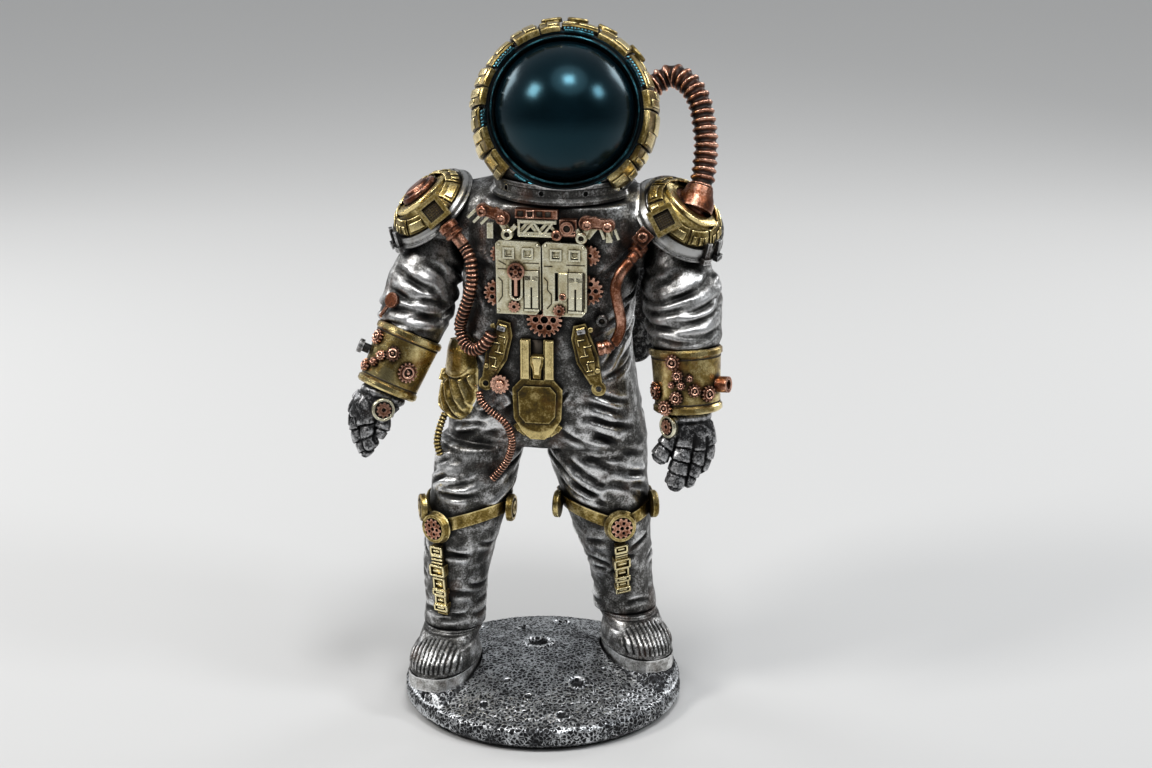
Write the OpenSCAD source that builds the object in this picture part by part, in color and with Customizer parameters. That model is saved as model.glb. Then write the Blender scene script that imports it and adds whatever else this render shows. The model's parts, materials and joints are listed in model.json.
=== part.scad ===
// Steampunk astronaut figure on a round moon base.
// Millimetres, +Z up, front of the figure towards -Y, origin at the centre of the base's underside.
// The figure's left side is +X.

/* [Base] */
// Radius of the moon base
base_r = 61; // [59:1:64]
// Height of the dome at its centre
base_top = 20.5; // [20:0.5:21.5]
// Thickness of the felt pad under the base
pad_t = 1; // [0.8:0.1:1.4]

/* [Torso] */
// Yaw of the upper body, towards the figure's right
torso_yaw = 9; // [7:1:10]
// Sideways place of the upper body's axis
torso_x = 6.5; // [6:0.5:7]
// Depth of the flat seat that carries the chest work
seat_y = 28.2; // [28:0.1:28.4]

/* [Shoulders] */
// Distance of a shoulder centre from the upper body's axis
shoulder_x = 48; // [47.5:0.5:48.5]
// Height of the shoulder centres
shoulder_z = 215; // [214.5:0.5:215.5]
// Radius of the ball on top of each sleeve
ball_r = 12; // [11.8:0.1:12.1]
// Radius of the steel shoulder pins
pin_r = 2; // [1.8:0.1:2.2]
// Tilt of the pauldrons' axis above the horizontal
pauldron_tilt = 47; // [46:1:48]
// Turn of the pauldrons' axis towards the front
pauldron_turn = 35; // [34:1:36]

/* [Helmet] */
// Radius of the helmet shell
helmet_r = 36.5; // [36:0.1:36.8]
// Height of the helmet's centre
helmet_z = 261; // [260.5:0.5:262]
// Upward pitch of the visor's axis
visor_pitch = 19; // [18:1:20]

/* [Arms] */
// Length of a forearm cuff
cuff_len = 27; // [26.5:0.5:27.5]
// Radius of the glove peg that turns in the cuff
peg_r = 5; // [4.8:0.1:5.2]
// Running clearance of pins and pegs, on the radius
run_gap = 0.05; // [0.04:0.01:0.08]

/* [Hidden] */
// Colours
SILVER = "#8f8d8b";
DARK = "#3b3a3c";
GOLD = "#b5a055";
COPPER = "#b0745a";
TEAL = "#0f2f38";
FELT = "#202020";
STEEL = "#b9bcc0";

// Roundness of true circles and facets of soft skins
$fn = 48;
SKIN_N = 24;
TUBE_N = 10;

// Places worked out from the driving dimensions
visor_seat = 13.5;
visor_r = 30;
visor_mid = 6.5;
visor_hole = 32.5;
panel_t = 2.5;
helmet_c = [10, 0, helmet_z];
collar_c = [9.5, 0.5, 230];
collar_r = 31;
collar_h = 9;
collar_tilt = 2;
ball_gap = ball_r + 0.4;
shell_in = 18;
shell_out = 20.2;
flange_out = 22.4;
shell_edge = 60;
right_flange_edge = 71;
left_flange_edge = 75;
shell_lid = 1.6;
buckle_side = 11;
buckle_window = 7;
buckle_lean = 68;
hole_r = 1.1;
hole_z = 5.3;
holes = 10;
far = 60;
disc_r = 13.4;
disc_t = 3.2;
disc_floor = 1.4;
disc_tilt = 51;
disc_turn = 12;
disc_wall = 2.2;
sole_t = 6;
right_seat = [7.6, -11, 8.6];
left_seat = [5.6, 52, 10.4];
// Fingers of each hand: radius, then the route from the knuckle to the tip
RIGHT_FINGERS = [
    [3.1, [[-6.6, -1, 6], [-7.4, -1.4, 13], [-3.6, -1.2, 19.6], [1.6, -0.6, 23.4], [4.4, 0, 25.2]]],
    [3, [[-2.6, 2.4, 7], [-2.4, 3.2, 14], [1.6, 3.4, 19.6], [4.6, 2.6, 22.6]]],
    [2.8, [[-8.4, -2, 5], [-9, -2.6, 11], [-6.4, -3, 16.6], [-2.6, -3, 20.4]]],
    [2.7, [[2.2, 3.4, 7], [4.6, 5, 12.4], [5, 5.4, 17.8]]]
];
LEFT_FINGERS = [
    [3.6, [[-5.6, 2.4, 7], [-9, 3.6, 12.4], [-12.2, 4, 16.6], [-13.8, 3.8, 19]]],
    [4.1, [[-2.6, 2.6, 11], [-3.8, 4.2, 18], [-6, 4.4, 25], [-7.2, 3.6, 29.6]]],
    [3.7, [[3, 1.6, 12], [2.6, 2.4, 18.6], [-0.6, 2, 24.6], [-3, 0.8, 28.2]]],
    [3.4, [[7.2, 0.4, 10], [7.4, 0.4, 15.4], [5.2, -0.6, 20.4], [2.4, -1.8, 24]]]
];
gear_lift = 2.2;
plate_t = 2.4;
hip_plate_t = 1.8;

// Ball that the base's dome is cut from
ground_r = 169.8;

// Gold plates round the visor: start angle, sweep, front edge's polar angle, thickness
PANELS = [
    [-58, 20, 61.5, 3], [-37, 12, 63.6, 2.5], [-24, 24, 62, 3.1], [1, 13, 61.6, 3.5], [15, 26, 66.4, 2.6],
    [42, 24, 62.6, 3], [67, 25, 66.4, 2.6], [93, 14, 62, 3], [108, 18, 61.6, 3.5], [127, 22, 66.4, 2.6],
    [150, 13, 62, 3.3], [164, 12, 61.6, 3.5], [177, 14, 66.4, 2.7], [192, 16, 62, 3.2], [209, 17, 61.6, 2.8]
];
// Polar angle of the plates' back edge, and of the discs on them with their places round the visor
panel_back = 93;
stud_polar = 82;
STUDS = [40, 63, 82, 98];

right_cuff_top = [-55.5, -5, 169.4];
right_cuff_end = [-66.1, -12, 145.8];
left_cuff_top = [60.4, -21, 168];
left_cuff_end = [61.6, -25, 141.3];

// Feet: ankle centre, turn, height of the sole's underside
right_foot = [[-40.6, -4, 0], -19, 14.8];
left_foot = [[38.6, 11, 0], 23, 16.4];

// Rings of the torso: height, centre across, half width, half depth
TORSO_RINGS = [
    [122, -4, 43.5, 21], [129, -4.7, 42.5, 24.5], [143, -5.5, 40.5, 28], [158, -4.5, 37, 29.4],
    [172, -4, 35.5, 29], [185, -3, 36, 29], [197, -1.5, 36.5, 30], [208, -0.5, 37.5, 30.5],
    [217, 1, 38, 30], [223, 2, 36.5, 29.4], [228, 3, 33.5, 28.6], [232, 3, 31.5, 28]
];

// Rings of the legs: centre, half width, half depth
RIGHT_LEG = [
    [[-39, -1, 36], 14, 14.5], [[-38.5, -1, 46], 13.2, 14], [[-38, -2, 60], 14.2, 15.5],
    [[-36, -4, 74], 15.6, 16.6], [[-33.5, -6, 88], 17.2, 17.4], [[-30, -4.5, 102], 18, 18.6],
    [[-27.5, -1.5, 114], 18.5, 20], [[-25, 0, 122], 19.5, 20.4]
];
LEFT_LEG = [
    [[37, 13.5, 37], 14, 14.5], [[36, 13, 47], 13.4, 14], [[34, 10, 60], 14.2, 15.5],
    [[31.5, 5, 74], 16, 16.6], [[29, 1.5, 88], 18.4, 17.6], [[26, 0.5, 102], 20, 19],
    [[24, 0.3, 114], 21.6, 20.2], [[24, 0, 122], 21.5, 20.4]
];

// Rings of the sleeves below the shoulder ball: centre and radius
RIGHT_SLEEVE = [
    [[-41.4, 7.4, 210], 10.4], [[-43.2, 6.8, 204], 12], [[-47.3, 5.3, 196], 14.2],
    [[-50.7, 3.6, 188], 15.4], [[-53.2, 0.4, 179], 15], [[-54.7, -3.2, 172.6], 14],
    [right_cuff_top, 12.8]
];
LEFT_SLEEVE = [
    [[54.2, -8, 210], 10.6], [[55, -8.9, 204], 12.2], [[57, -11, 196], 14.9],
    [[59.2, -13.8, 188], 16.4], [[60, -17.2, 179], 16], [[60.2, -19.8, 172], 14.8],
    [left_cuff_top, 13.4]
];

// Hose routes, each a list of points along its centre line
AIR_HOSE = [
    [46, 14.5, 270.6], [51, 16.2, 273.6], [55.6, 16, 275.2], [60.4, 13, 273.4],
    [64.3, 9.5, 269.2], [66.9, 6, 262.9], [68.6, 0.5, 251.3], [68.2, -3, 243], [66.9, -7, 235],
    [64.3, -11.1, 227.5]
];
inlet_start = helmet_c + (helmet_r - 1.2) * unit(AIR_HOSE[0] - helmet_c);
inlet_r = 6.3;
CHEST_HOSE = [
    [-37.4, -22, 213.2], [-34.4, -25.8, 210.6], [-31, -28.4, 204.6], [-31, -28.4, 194.6],
    [-34.6, -26.6, 183.4], [-37, -24, 175.5], [-34.6, -26.6, 169], [-29.6, -29.6, 167.4],
    [-24.6, -32.5, 171.6], [-22, -32.7, 176]
];
CHEST_PIPE = [
    [37.6, -22.2, 211.8], [35, -26.4, 207.8], [31, -29, 202.4], [29.2, -29.6, 196], [30.4, -28.8, 188],
    [31.4, -27.8, 180.4], [29.4, -28.2, 174], [26.4, -29.2, 171.4], [23.6, -30, 170.8]
];
THIGH_HOSE = [
    [-27.8, -31.2, 150], [-27, -31.6, 146], [-22.8, -31.6, 141.4], [-16.8, -31, 136.2],
    [-14.4, -29.6, 128.6], [-16.2, -27.6, 120.2], [-19.8, -27, 114.4], [-23.4, -27, 109.8]
];
HOLSTER_HOSE = [
    [-45.6, -17.4, 135], [-47.6, -19.6, 129], [-48.6, -20.6, 122.6], [-47.4, -20.6, 117]
];

// Craters on the base: place, radius
CRATERS = [
    [[-2, 8], 5.5], [[15, -28.5], 3.6], [[-10, 30], 2.4], [[8, -51], 2.2], [[-15.5, -27], 1.8],
    [[-6, -39], 1.8], [[-25, -42], 2], [[27, -16], 1.6], [[8, 40], 4.2], [[-30, 38], 3.2]
];

// Helpers

function unit(v) = v / norm(v);

// Side and front directions of a section whose normal is t
function side_of(t) = unit(cross(t, [0, 1, 0]));
function front_of(t) = cross(t, side_of(t));

// One rounded section: centre, normal, half sizes across and along, squareness
function section(c, t, ra, rb, power, n) = [
    for (i = [0 : n - 1])
        let (a = 360 * i / n, e = 2 / power, x = cos(a), y = sin(a))
        c + side_of(t) * ra * sign(x) * pow(abs(x), e) + front_of(t) * rb * sign(y) * pow(abs(y), e)
];

// Direction of a route at its point i
function heading(route, i) =
    unit(route[min(i + 1, len(route) - 1)] - route[max(i - 1, 0)]);

// Smooth curve through a route's points, with steps points on each stretch
function spline_at(p, i, u) =
    let (a = p[max(i - 1, 0)], b = p[i], c = p[i + 1], d = p[min(i + 2, len(p) - 1)])
    0.5 * (2 * b + (c - a) * u + (2 * a - 5 * b + 4 * c - d) * u * u + (3 * b - a - 3 * c + d) * u * u * u);
function smooth(p, steps) = concat(
    [for (i = [0 : len(p) - 2], k = [0 : steps - 1]) spline_at(p, i, k / steps)],
    [p[len(p) - 1]]
);

// Closed skin over sections that each have n points and turn the same way
module skin(points, n) {
    rows = len(points) / n;
    polyhedron(
        points = points,
        faces = concat(
            [[for (i = [0 : n - 1]) i]],
            [[for (i = [0 : n - 1]) rows * n - 1 - i]],
            [for (k = [0 : rows - 2], i = [0 : n - 1])
                [k * n + i, (k + 1) * n + i, (k + 1) * n + (i + 1) % n]],
            [for (k = [0 : rows - 2], i = [0 : n - 1])
                [k * n + i, (k + 1) * n + (i + 1) % n, k * n + (i + 1) % n]]
        ),
        convexity = 6
    );
}

// Hose or pipe of one radius along a route
module tube(route, r, steps = 3) {
    path = smooth(route, steps);
    skin([for (i = [0 : len(path) - 1])
        each section(path[i], heading(path, i), r, r, 2, TUBE_N)], TUBE_N);
}

// Skin over level rings: centre, half width, half depth
module level_skin(rings, power, n, grow = 0) {
    skin([for (r = rings)
        each section(r[0], [0, 0, 1], r[1] + grow, r[2] + grow, power, n)], n);
}

// Stands children with +Z from p towards q
module aim(p, q) {
    t = unit(q - p);
    s = side_of(t);
    f = front_of(t);
    multmatrix([
        [s[0], f[0], t[0], p[0]],
        [s[1], f[1], t[1], p[1]],
        [s[2], f[2], t[2], p[2]],
        [0, 0, 0, 1]
    ]) children();
}

// The upper body's own frame
module upper_body() {
    translate([torso_x, 0, 0]) rotate([0, 0, -torso_yaw]) children();
}

// The collar's own frame
module at_collar() {
    translate(collar_c) rotate([collar_tilt, 0, 0]) children();
}

// Stands flat work on the chest seat, lift out of it, facing forward
module on_seat(x, z, lift = 0) {
    translate([x, -seat_y - lift, z]) rotate([90, 0, 0]) children();
}

// Shoulder centre of one side (-1 right, 1 left), with +Z along the pauldron's axis
module at_shoulder(hand) {
    translate([hand * shoulder_x, 0, shoulder_z]) children();
}
module at_pauldron(hand) {
    at_shoulder(hand) rotate([0, 0, -hand * pauldron_turn]) rotate([0, hand * (90 - pauldron_tilt), 0])
        children();
}

// Lower edge of a pauldron's flange, as an angle from its axis
function flange_edge(hand) = hand > 0 ? left_flange_edge : right_flange_edge;

// Foot of the ring disc on top of a pauldron, with +Z out of it
module at_disc(hand) {
    at_shoulder(hand) rotate([0, 0, -hand * disc_turn]) rotate([0, hand * (90 - disc_tilt), 0])
        translate([0, 0, ball_gap]) children();
}

// The visor's frame: origin at the helmet's centre, +Z out through the visor
module at_visor() {
    translate(helmet_c) rotate([90 - visor_pitch, 0, 0]) children();
}

// Ring-shaped patch of a ball shell between two radii and two angles from its axis
module ball_band(r0, r1, a0, a1, turn = 360) {
    steps = 8;
    rotate_extrude(angle = turn)
        polygon(concat(
            [for (i = [0 : steps]) let (a = a0 + (a1 - a0) * i / steps) [r1 * sin(a), r1 * cos(a)]],
            [for (i = [steps : -1 : 0]) let (a = a0 + (a1 - a0) * i / steps) [r0 * sin(a), r0 * cos(a)]]
        ));
}

// Spur gear outline with a bore and, on larger ones, round windows
module gear(r, teeth, t, bore = 0.8, windows = 0) {
    root = r * 0.8;
    pitch = 360 / teeth;
    linear_extrude(t)
        difference() {
            polygon([for (i = [0 : teeth - 1], c = [[root, -0.32], [r, -0.17], [r, 0.17], [root, 0.32]])
                let (a = pitch * (i + c[1])) [c[0] * cos(a), c[0] * sin(a)]]);
            circle(bore);
            if (windows > 0)
                for (i = [0 : windows - 1])
                    rotate(360 * i / windows) translate([r * 0.5, 0]) circle(r * 0.17);
        }
}

// Outline of a sole, toes towards -Y
module foot_outline() {
    polygon([for (i = [0 : SKIN_N - 1])
        let (a = 360 * i / SKIN_N, y = sin(a), w = 13.6 - 1.2 * y)
        [w * sign(cos(a)) * pow(abs(cos(a)), 0.8), 23 * y - 7]]);
}

// Base

module base() {
    edge_z = 8;
    shoulder_r = base_r - 5.5;
    color(DARK)
        difference() {
            rotate_extrude($fn = 96)
                polygon(concat(
                    [[0, pad_t], [base_r - 2.5, pad_t], [base_r, 3.5], [base_r, edge_z]],
                    [for (a = [22.5 : 22.5 : 67.5])
                        [shoulder_r + 5.5 * cos(a), edge_z + 3.2 * sin(a)]],
                    [for (i = [0 : 7])
                        let (r = shoulder_r * (1 - i / 7))
                            [r, base_top - ground_r + sqrt(ground_r * ground_r - r * r)]]
                ));
            for (foot = [right_foot, left_foot])
                translate([foot[0][0], foot[0][1], foot[2]]) rotate(foot[1])
                    linear_extrude(20) foot_outline();
            for (c = CRATERS)
                translate([c[0][0], c[0][1],
                           base_top - norm(c[0]) * norm(c[0]) / (2 * ground_r) + c[1] * 0.7])
                    sphere(c[1] * 1.25, $fn = 32);
        }
}

module base_pad() {
    color(FELT) cylinder(r = base_r - 4, h = pad_t, $fn = 96);
}

// Feet and legs

module foot_place(foot) {
    translate([foot[0][0], foot[0][1], foot[2]]) rotate(foot[1]) children();
}

module soles() {
    color(SILVER)
        for (foot = [right_foot, left_foot])
            foot_place(foot) linear_extrude(sole_t) foot_outline();
}

module boot(foot, ankle) {
    z0 = foot[2] + sole_t;
    turn = foot[1];
    // Each ring: height, shift towards the heel from the foot's middle, half width, half length
    color(SILVER)
        skin(concat(
            [for (r = [[0, 0, 13.6, 22.6], [3, 0.1, 13.9, 22.5], [6, 0.8, 13.6, 21.2], [8.6, 2.4, 12.9, 18.6],
                       [10.4, 4.6, 12.6, 15.8], [11.6, 6, 12.8, 14.8]])
                each [for (i = [0 : SKIN_N - 1])
                    let (a = 360 * i / SKIN_N, x = -r[2] * cos(a), y = r[1] - 7 - r[3] * sin(a))
                    foot[0] + [x * cos(turn) - y * sin(turn), x * sin(turn) + y * cos(turn), z0 + r[0]]]],
            section(ankle[0], [0, 0, 1], ankle[1], ankle[2], 2, SKIN_N)
        ), SKIN_N);
}

module boot_right() {
    boot(right_foot, RIGHT_LEG[0]);
}

module boot_left() {
    boot(left_foot, LEFT_LEG[0]);
}

module leg_right() {
    color(SILVER) level_skin(RIGHT_LEG, 2, SKIN_N);
}

module leg_left() {
    color(SILVER) level_skin(LEFT_LEG, 2, SKIN_N);
}

// Strap that follows a leg's skin where two sloping bars cross it
module knee_band(rings, knee, turn) {
    color(GOLD)
        intersection() {
            difference() {
                level_skin(rings, 2, SKIN_N, 1.5);
                level_skin(rings, 2, SKIN_N, 0);
            }
            translate(knee) rotate(turn)
                for (hand = [-1, 1])
                    rotate([0, -hand * 20, 0])
                        translate([hand * 15, -10, 0]) cube([30, 40, 5.5], center = true);
        }
}

module knee_band_right() {
    knee_band(RIGHT_LEG, [-33.5, -6, 87], -37);
}

module knee_band_left() {
    knee_band(LEFT_LEG, [29, 1.5, 86], 14);
}

// Stands children on a knee, facing out of it
module on_knee(knee, turn, out) {
    translate(knee) rotate([0, 0, turn]) translate([0, -out, 0]) rotate([90, 0, 0]) children();
}

module knee_disc() {
    difference() {
        cylinder(r1 = 7.2, r2 = 6.2, h = 2.8);
        translate([0, 0, 1.6]) cylinder(r = 4.9, h = 2);
    }
}

module knee_discs() {
    color(GOLD) {
        on_knee([-33.5, -6, 87], -37, 18.9) knee_disc();
        on_knee([29, 1.5, 86], 14, 19.4) knee_disc();
    }
}

module knee_gears() {
    color(COPPER) {
        on_knee([-33.5, -6, 87], -37, 20.5) gear(4.6, 11, 1.6, 0.9, 5);
        on_knee([29, 1.5, 86], 14, 21) gear(4.6, 11, 1.6, 0.9, 5);
    }
}

// Shin strap with its clip: a bar with a buckle and two keepers
module shin_buckle(length) {
    union() {
        translate([-2.4, 0, -length]) cube([4.8, 2, length]);
        translate([-3.6, -0.9, -length * 0.42]) cube([7.2, 2.9, 5]);
        translate([-3.2, -0.6, -length * 0.7]) cube([6.4, 2.6, 2.4]);
        translate([-3.2, -0.6, -length * 0.9]) cube([6.4, 2.6, 2.4]);
    }
}

module shin_buckles() {
    color(GOLD) {
        translate([-45.6, -20.4, 78]) rotate([0, 0, -30]) rotate([7, 0, 0]) shin_buckle(33.5);
        translate([34, -14.6, 76]) rotate([0, 0, 14]) rotate([20, -8, 0]) shin_buckle(29);
    }
}

// Torso

function torso_rings() = [for (r = TORSO_RINGS) [[r[1], 0, r[0]], r[2], r[3]]];

module torso() {
    color(SILVER)
        difference() {
            upper_body() level_skin(torso_rings(), 2.7, 32);
            upper_body() translate([-30, -seat_y - 20, 139]) cube([60, 20, 90]);
            upper_body()
                for (hand = [-1, 1]) {
                    at_shoulder(hand) sphere(shell_in);
                    at_pauldron(hand) ball_band(1, flange_out + 0.1, 0, flange_edge(hand) + 1);
                    at_shoulder(hand) rotate([0, -hand * 90, 0]) cylinder(r = pin_r, h = 30);
                }
            at_collar() cylinder(r = collar_r + 20, h = 20);
        }
}

module crotch_plate() {
    cx = -3.4;
    cz = 145.5;
    color(GOLD)
        upper_body()
            on_seat(cx, cz) {
                linear_extrude(1.6)
                    polygon([[-10.6, 6], [-7, 10], [7, 10], [10.6, 6], [10, -7], [6.4, -13],
                             [3, -16], [-3, -16], [-6.4, -13], [-10, -7]]);
                translate([0, 0, 1.6]) linear_extrude(0.9)
                    polygon([[-8, 4.6], [-5.6, 7.4], [5.6, 7.4], [8, 4.6], [7.6, -5.4], [5, -8.6],
                             [-5, -8.6], [-7.6, -5.4]]);
                for (hand = [-1, 1])
                    translate([hand * 4.8 - 2, 10, 0]) cube([4, 17.6, 1.8]);
            }
}

module crotch_clip() {
    color(GOLD)
        upper_body()
            on_seat(-3.4, 160.4) {
                translate([-2.5, -4, 0]) cube([5, 16, 1.4]);
                translate([0, 3, 1.4]) cylinder(r = 1.6, h = 0.8, $fn = 24);
            }
}

// Long hip plate with an eyelet at its lower end; hand mirrors it
module hip_plate(hand) {
    linear_extrude(hip_plate_t)
        difference() {
            union() {
                polygon([[hand * -2.6, 14], [hand * 2.4, 14], [hand * 4.6, 9], [hand * 4.8, -2],
                         [hand * 1.4, -12], [hand * -3.4, -12], [hand * -4.6, 0]]);
                translate([hand * -1.4, -14.4]) circle(3);
            }
            translate([hand * -1.4, -14.4]) circle(1.3);
        }
}

module hip_plates() {
    color(GOLD)
        upper_body() {
            on_seat(-20.4, 166.8) rotate(-14) hip_plate(1);
            on_seat(17.6, 166.6) rotate(14) hip_plate(-1);
        }
}

// Thigh armour on the right hip: a slab that follows the torso's skin
module holster() {
    color(GOLD)
        upper_body()
            intersection() {
                difference() {
                    level_skin(torso_rings(), 2.7, 32, 2.6);
                    level_skin(torso_rings(), 2.7, 32, 0);
                }
                translate([-52, -26, 136]) cube([21, 24, 31]);
            }
}

module holster_hose() {
    color(GOLD)
        upper_body() tube(HOLSTER_HOSE, 1.7);
}

module thigh_hose() {
    color(COPPER)
        upper_body() tube(THIGH_HOSE, 1.65);
}

// Chest work

// One chest plate, w wide: square windows, a slot, and the place of its raised bars
module chest_plate(w, windows, slot, bars) {
    difference() {
        union() {
            linear_extrude(plate_t)
                polygon([[0.4, 0], [w - 2, 0], [w, 2.4], [w, 28.6], [w - 1.6, 30.6], [1.6, 31], [0, 29.6]]);
            for (x = windows)
                translate([x - 2.4, 23.4, plate_t]) cube([4.8, 4.8, 0.6]);
        }
        for (x = windows)
            translate([x - 1.6, 24.2, -1]) cube([3.2, 3.2, 6]);
        translate([slot[0] - slot[1] / 2, 6.4, -1]) cube([slot[1], slot[2], 6]);
    }
    for (dx = [-2.8, 0.4])
        translate([bars + dx, 3, plate_t]) cube([2.4, 13.6, 0.7]);
}

module chest_plate_right() {
    color(GOLD)
        upper_body() on_seat(-20, 184.6, gear_lift) chest_plate(18.8, [5.5, 13.4], [8.8, 2.4, 8], 15);
}

module chest_plate_left() {
    color(GOLD)
        upper_body() on_seat(-0.6, 184.4, gear_lift) chest_plate(18.4, [5.7, 13.4], [5.9, 1.4, 12], 13.8);
}

// Flat bar between two points of the seat
module strut(a, b, w, t) {
    d = b - a;
    translate(a) rotate(atan2(d[1], d[0])) translate([0, -w / 2, 0]) cube([norm(d), w, t]);
}

module chest_truss() {
    color(GOLD)
        upper_body() {
            on_seat(0, 0) {
                strut([-11, 218.2, 0], [5, 218.2, 0], 1.6, 3);
                strut([-11, 223.4, 0], [5, 223.4, 0], 1.6, 3);
                for (i = [0 : 3])
                    strut([-10.6 + 4 * i, i % 2 == 0 ? 218.6 : 223, 0],
                          [-6.8 + 4 * i, i % 2 == 0 ? 223 : 218.6, 0], 1.2, 2.6);
            }
            on_seat(0, 0, 0.2)
                for (hand = [-1, 1])
                    translate([2 + hand * 15.6, 0, 0]) {
                        strut([0, 217.4, 0], [hand * 5.4, 224.4, 0], 2.4, 2.2);
                        strut([hand * 9, 215.6, 0], [hand * 9, 222, 0], 2.6, 2);
                    }
        }
}

module chest_bracket() {
    color(COPPER)
        upper_body() {
            on_seat(-11.8, 225) cube([17.4, 3.6, 4]);
            on_seat(6.4, 217.8) cube([7, 7, 3.6]);
            on_seat(9.6, 221.4, 3.6)
                difference() {
                    cylinder(r = 2.8, h = 1.6);
                    translate([0, 0, 0.6]) cylinder(r = 1.5, h = 2);
                }
        }
}

// Copper linkage: a lever with two bosses, the second one at end
module linkage(end) {
    difference() {
        union() {
            strut([0, 0, 0], end, 4.4, 2);
            cylinder(r = 3, h = 2.6);
            translate(end) cylinder(r = 2.5, h = 2.6);
        }
        translate([0, 0, 1.6]) cylinder(r = 1.1, h = 2);
    }
}

module linkages() {
    color(COPPER)
        upper_body() {
            on_seat(-16.8, 225, 2.6) linkage([-8.4, 3.2, 0]);
            on_seat(17.6, 224, 2.6) linkage([9.2, -0.6, 0]);
        }
}

module chest_gears() {
    color(COPPER)
        upper_body() {
            on_seat(-0.2, 181.9) gear(7.4, 20, gear_lift, 1.6, 6);
            on_seat(-19.6, 192.6) gear(5.8, 16, gear_lift, 1.2, 5);
            on_seat(18.2, 195) gear(6, 16, gear_lift, 1.2, 5);
            on_seat(-18.4, 209.2) gear(4.2, 13, gear_lift);
            on_seat(18.8, 209.8) gear(4.2, 13, gear_lift);
        }
}

module plate_gears() {
    lift = gear_lift + plate_t;
    color(COPPER)
        upper_body() {
            on_seat(-12.2, 188, lift) gear(2.5, 10, 1.3);
            on_seat(6.5, 186.9, lift) gear(2.5, 10, 1.3);
            on_seat(8, 193, lift) cylinder(r = 1.5, h = 1.3, $fn = 24);
            on_seat(-19, 153.4, hip_plate_t) gear(4.1, 13, 1.6, 0.9);
            on_seat(-19, 153.4, hip_plate_t + 1.6) cylinder(r = 1.6, h = 1.2, $fn = 24);
        }
}

module valve_wheel() {
    lift = gear_lift + plate_t;
    color(COPPER)
        upper_body()
            on_seat(-11.3, 203, lift) {
                difference() {
                    cylinder(r = 3.6, h = 1.8);
                    translate([0, 0, 0.8]) cylinder(r = 2.8, h = 2);
                }
                for (a = [0 : 60 : 120])
                    rotate(a) translate([-3, -0.4, 0.7]) cube([6, 0.8, 0.9]);
                cylinder(r = 1.1, h = 2.6, $fn = 24);
                translate([-0.6, -10.2, 0.8]) cube([1.2, 7.6, 1]);
            }
}

module chest_hose() {
    color(COPPER)
        upper_body() tube(CHEST_HOSE, 2.4);
}

module chest_pipe() {
    color(COPPER)
        upper_body() tube(CHEST_PIPE, 2.3);
}

// Cup from p towards q, with a bore that takes a hose end d into it
module hose_cup(p, q, r, bore, d) {
    floor_gap = 0.7;
    deep = norm(q - p) - floor_gap;
    aim(p, q)
        difference() {
            cylinder(r = r, h = deep + floor_gap + d);
            translate([0, 0, deep]) cylinder(r = bore, h = d + 2);
        }
}

// Fittings that carry the ends of the chest hose and the chest pipe
module hose_fittings() {
    color(COPPER)
        upper_body() {
            difference() {
                union() {
                    hose_cup([-41.4, -18.4, 216.6], CHEST_HOSE[0], 3.6, 2.6, 0.6);
                    hose_cup([41.4, -18.4, 215.4], CHEST_PIPE[0], 3.4, 2.5, 0.6);
                }
                for (hand = [-1, 1])
                    at_shoulder(hand) sphere(flange_out + 0.05);
            }
        }
}

// Collar and helmet

module collar_ring() {
    color(SILVER)
        difference() {
            at_collar()
                rotate_extrude($fn = 96)
                    polygon([[24, 0], [29.6, 0], [collar_r, 1.1], [collar_r, 2.3], [29.7, 3.3], [29.3, 3.6],
                             [29.1, 7], [29.8, 7.4], [29.8, collar_h], [24, collar_h]]);
            at_collar()
                for (i = [0 : holes - 1])
                    rotate([0, 0, 360 * (i + 0.5) / holes])
                        translate([0, -28, hole_z]) rotate([90, 0, 0]) cylinder(r = hole_r, h = 5, $fn = 24);
            translate(helmet_c) sphere(helmet_r + 0.02, $fn = 96);
            at_visor() translate([0, 0, visor_seat - 0.5]) cylinder(r = visor_hole + 0.3, h = 20, $fn = 96);
        }
}

module helmet_shell() {
    color(SILVER)
        difference() {
            translate(helmet_c) sphere(helmet_r, $fn = 96);
            at_visor() translate([0, 0, visor_seat]) cylinder(r = visor_hole, h = 30, $fn = 96);
            for (hand = [-1, 1])
                at_ear(hand) cylinder(r = 6.7, h = 10);
            aim(inlet_start, AIR_HOSE[0]) cylinder(r = inlet_r + 0.2, h = 12);
            at_collar() translate([0, 0, 0.02 - far]) cylinder(r = far, h = far);
        }
}

// Ear discs stand a little behind the visor's plane
module at_ear(hand) {
    translate(helmet_c) rotate([0, 0, hand * 20]) rotate([0, hand * 92, 0]) translate([0, 0, helmet_r - 1.4])
        children();
}

module ear_discs() {
    color(SILVER)
        difference() {
            for (hand = [-1, 1])
                at_ear(hand)
                    difference() {
                        cylinder(r = 6.6, h = 4.2);
                        translate([0, 0, 3.2]) cylinder(r = 4.4, h = 2);
                    }
            aim(inlet_start, AIR_HOSE[0]) translate([0, 0, -8]) cylinder(r = inlet_r + 0.2, h = 20);
        }
}

module helmet_panels() {
    color(GOLD)
        difference() {
            at_visor() {
                for (p = PANELS)
                    rotate([0, 0, p[0]]) ball_band(helmet_r + 0.02, helmet_r + p[3], p[2], panel_back, p[1]);
                for (a = STUDS)
                    rotate([0, 0, a]) rotate([0, stud_polar, 0]) translate([0, 0, helmet_r + panel_t - 0.4])
                        cylinder(r = 4.4, h = 2.2, $fn = 32);
            }
            at_collar() translate([0, 0, -4]) cylinder(r = collar_r + 0.1, h = collar_h + 5);
            for (hand = [-1, 1])
                at_ear(hand) cylinder(r = 6.7, h = 10);
            aim(inlet_start, AIR_HOSE[0]) cylinder(r = inlet_r + 0.2, h = 12);
        }
}

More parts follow.
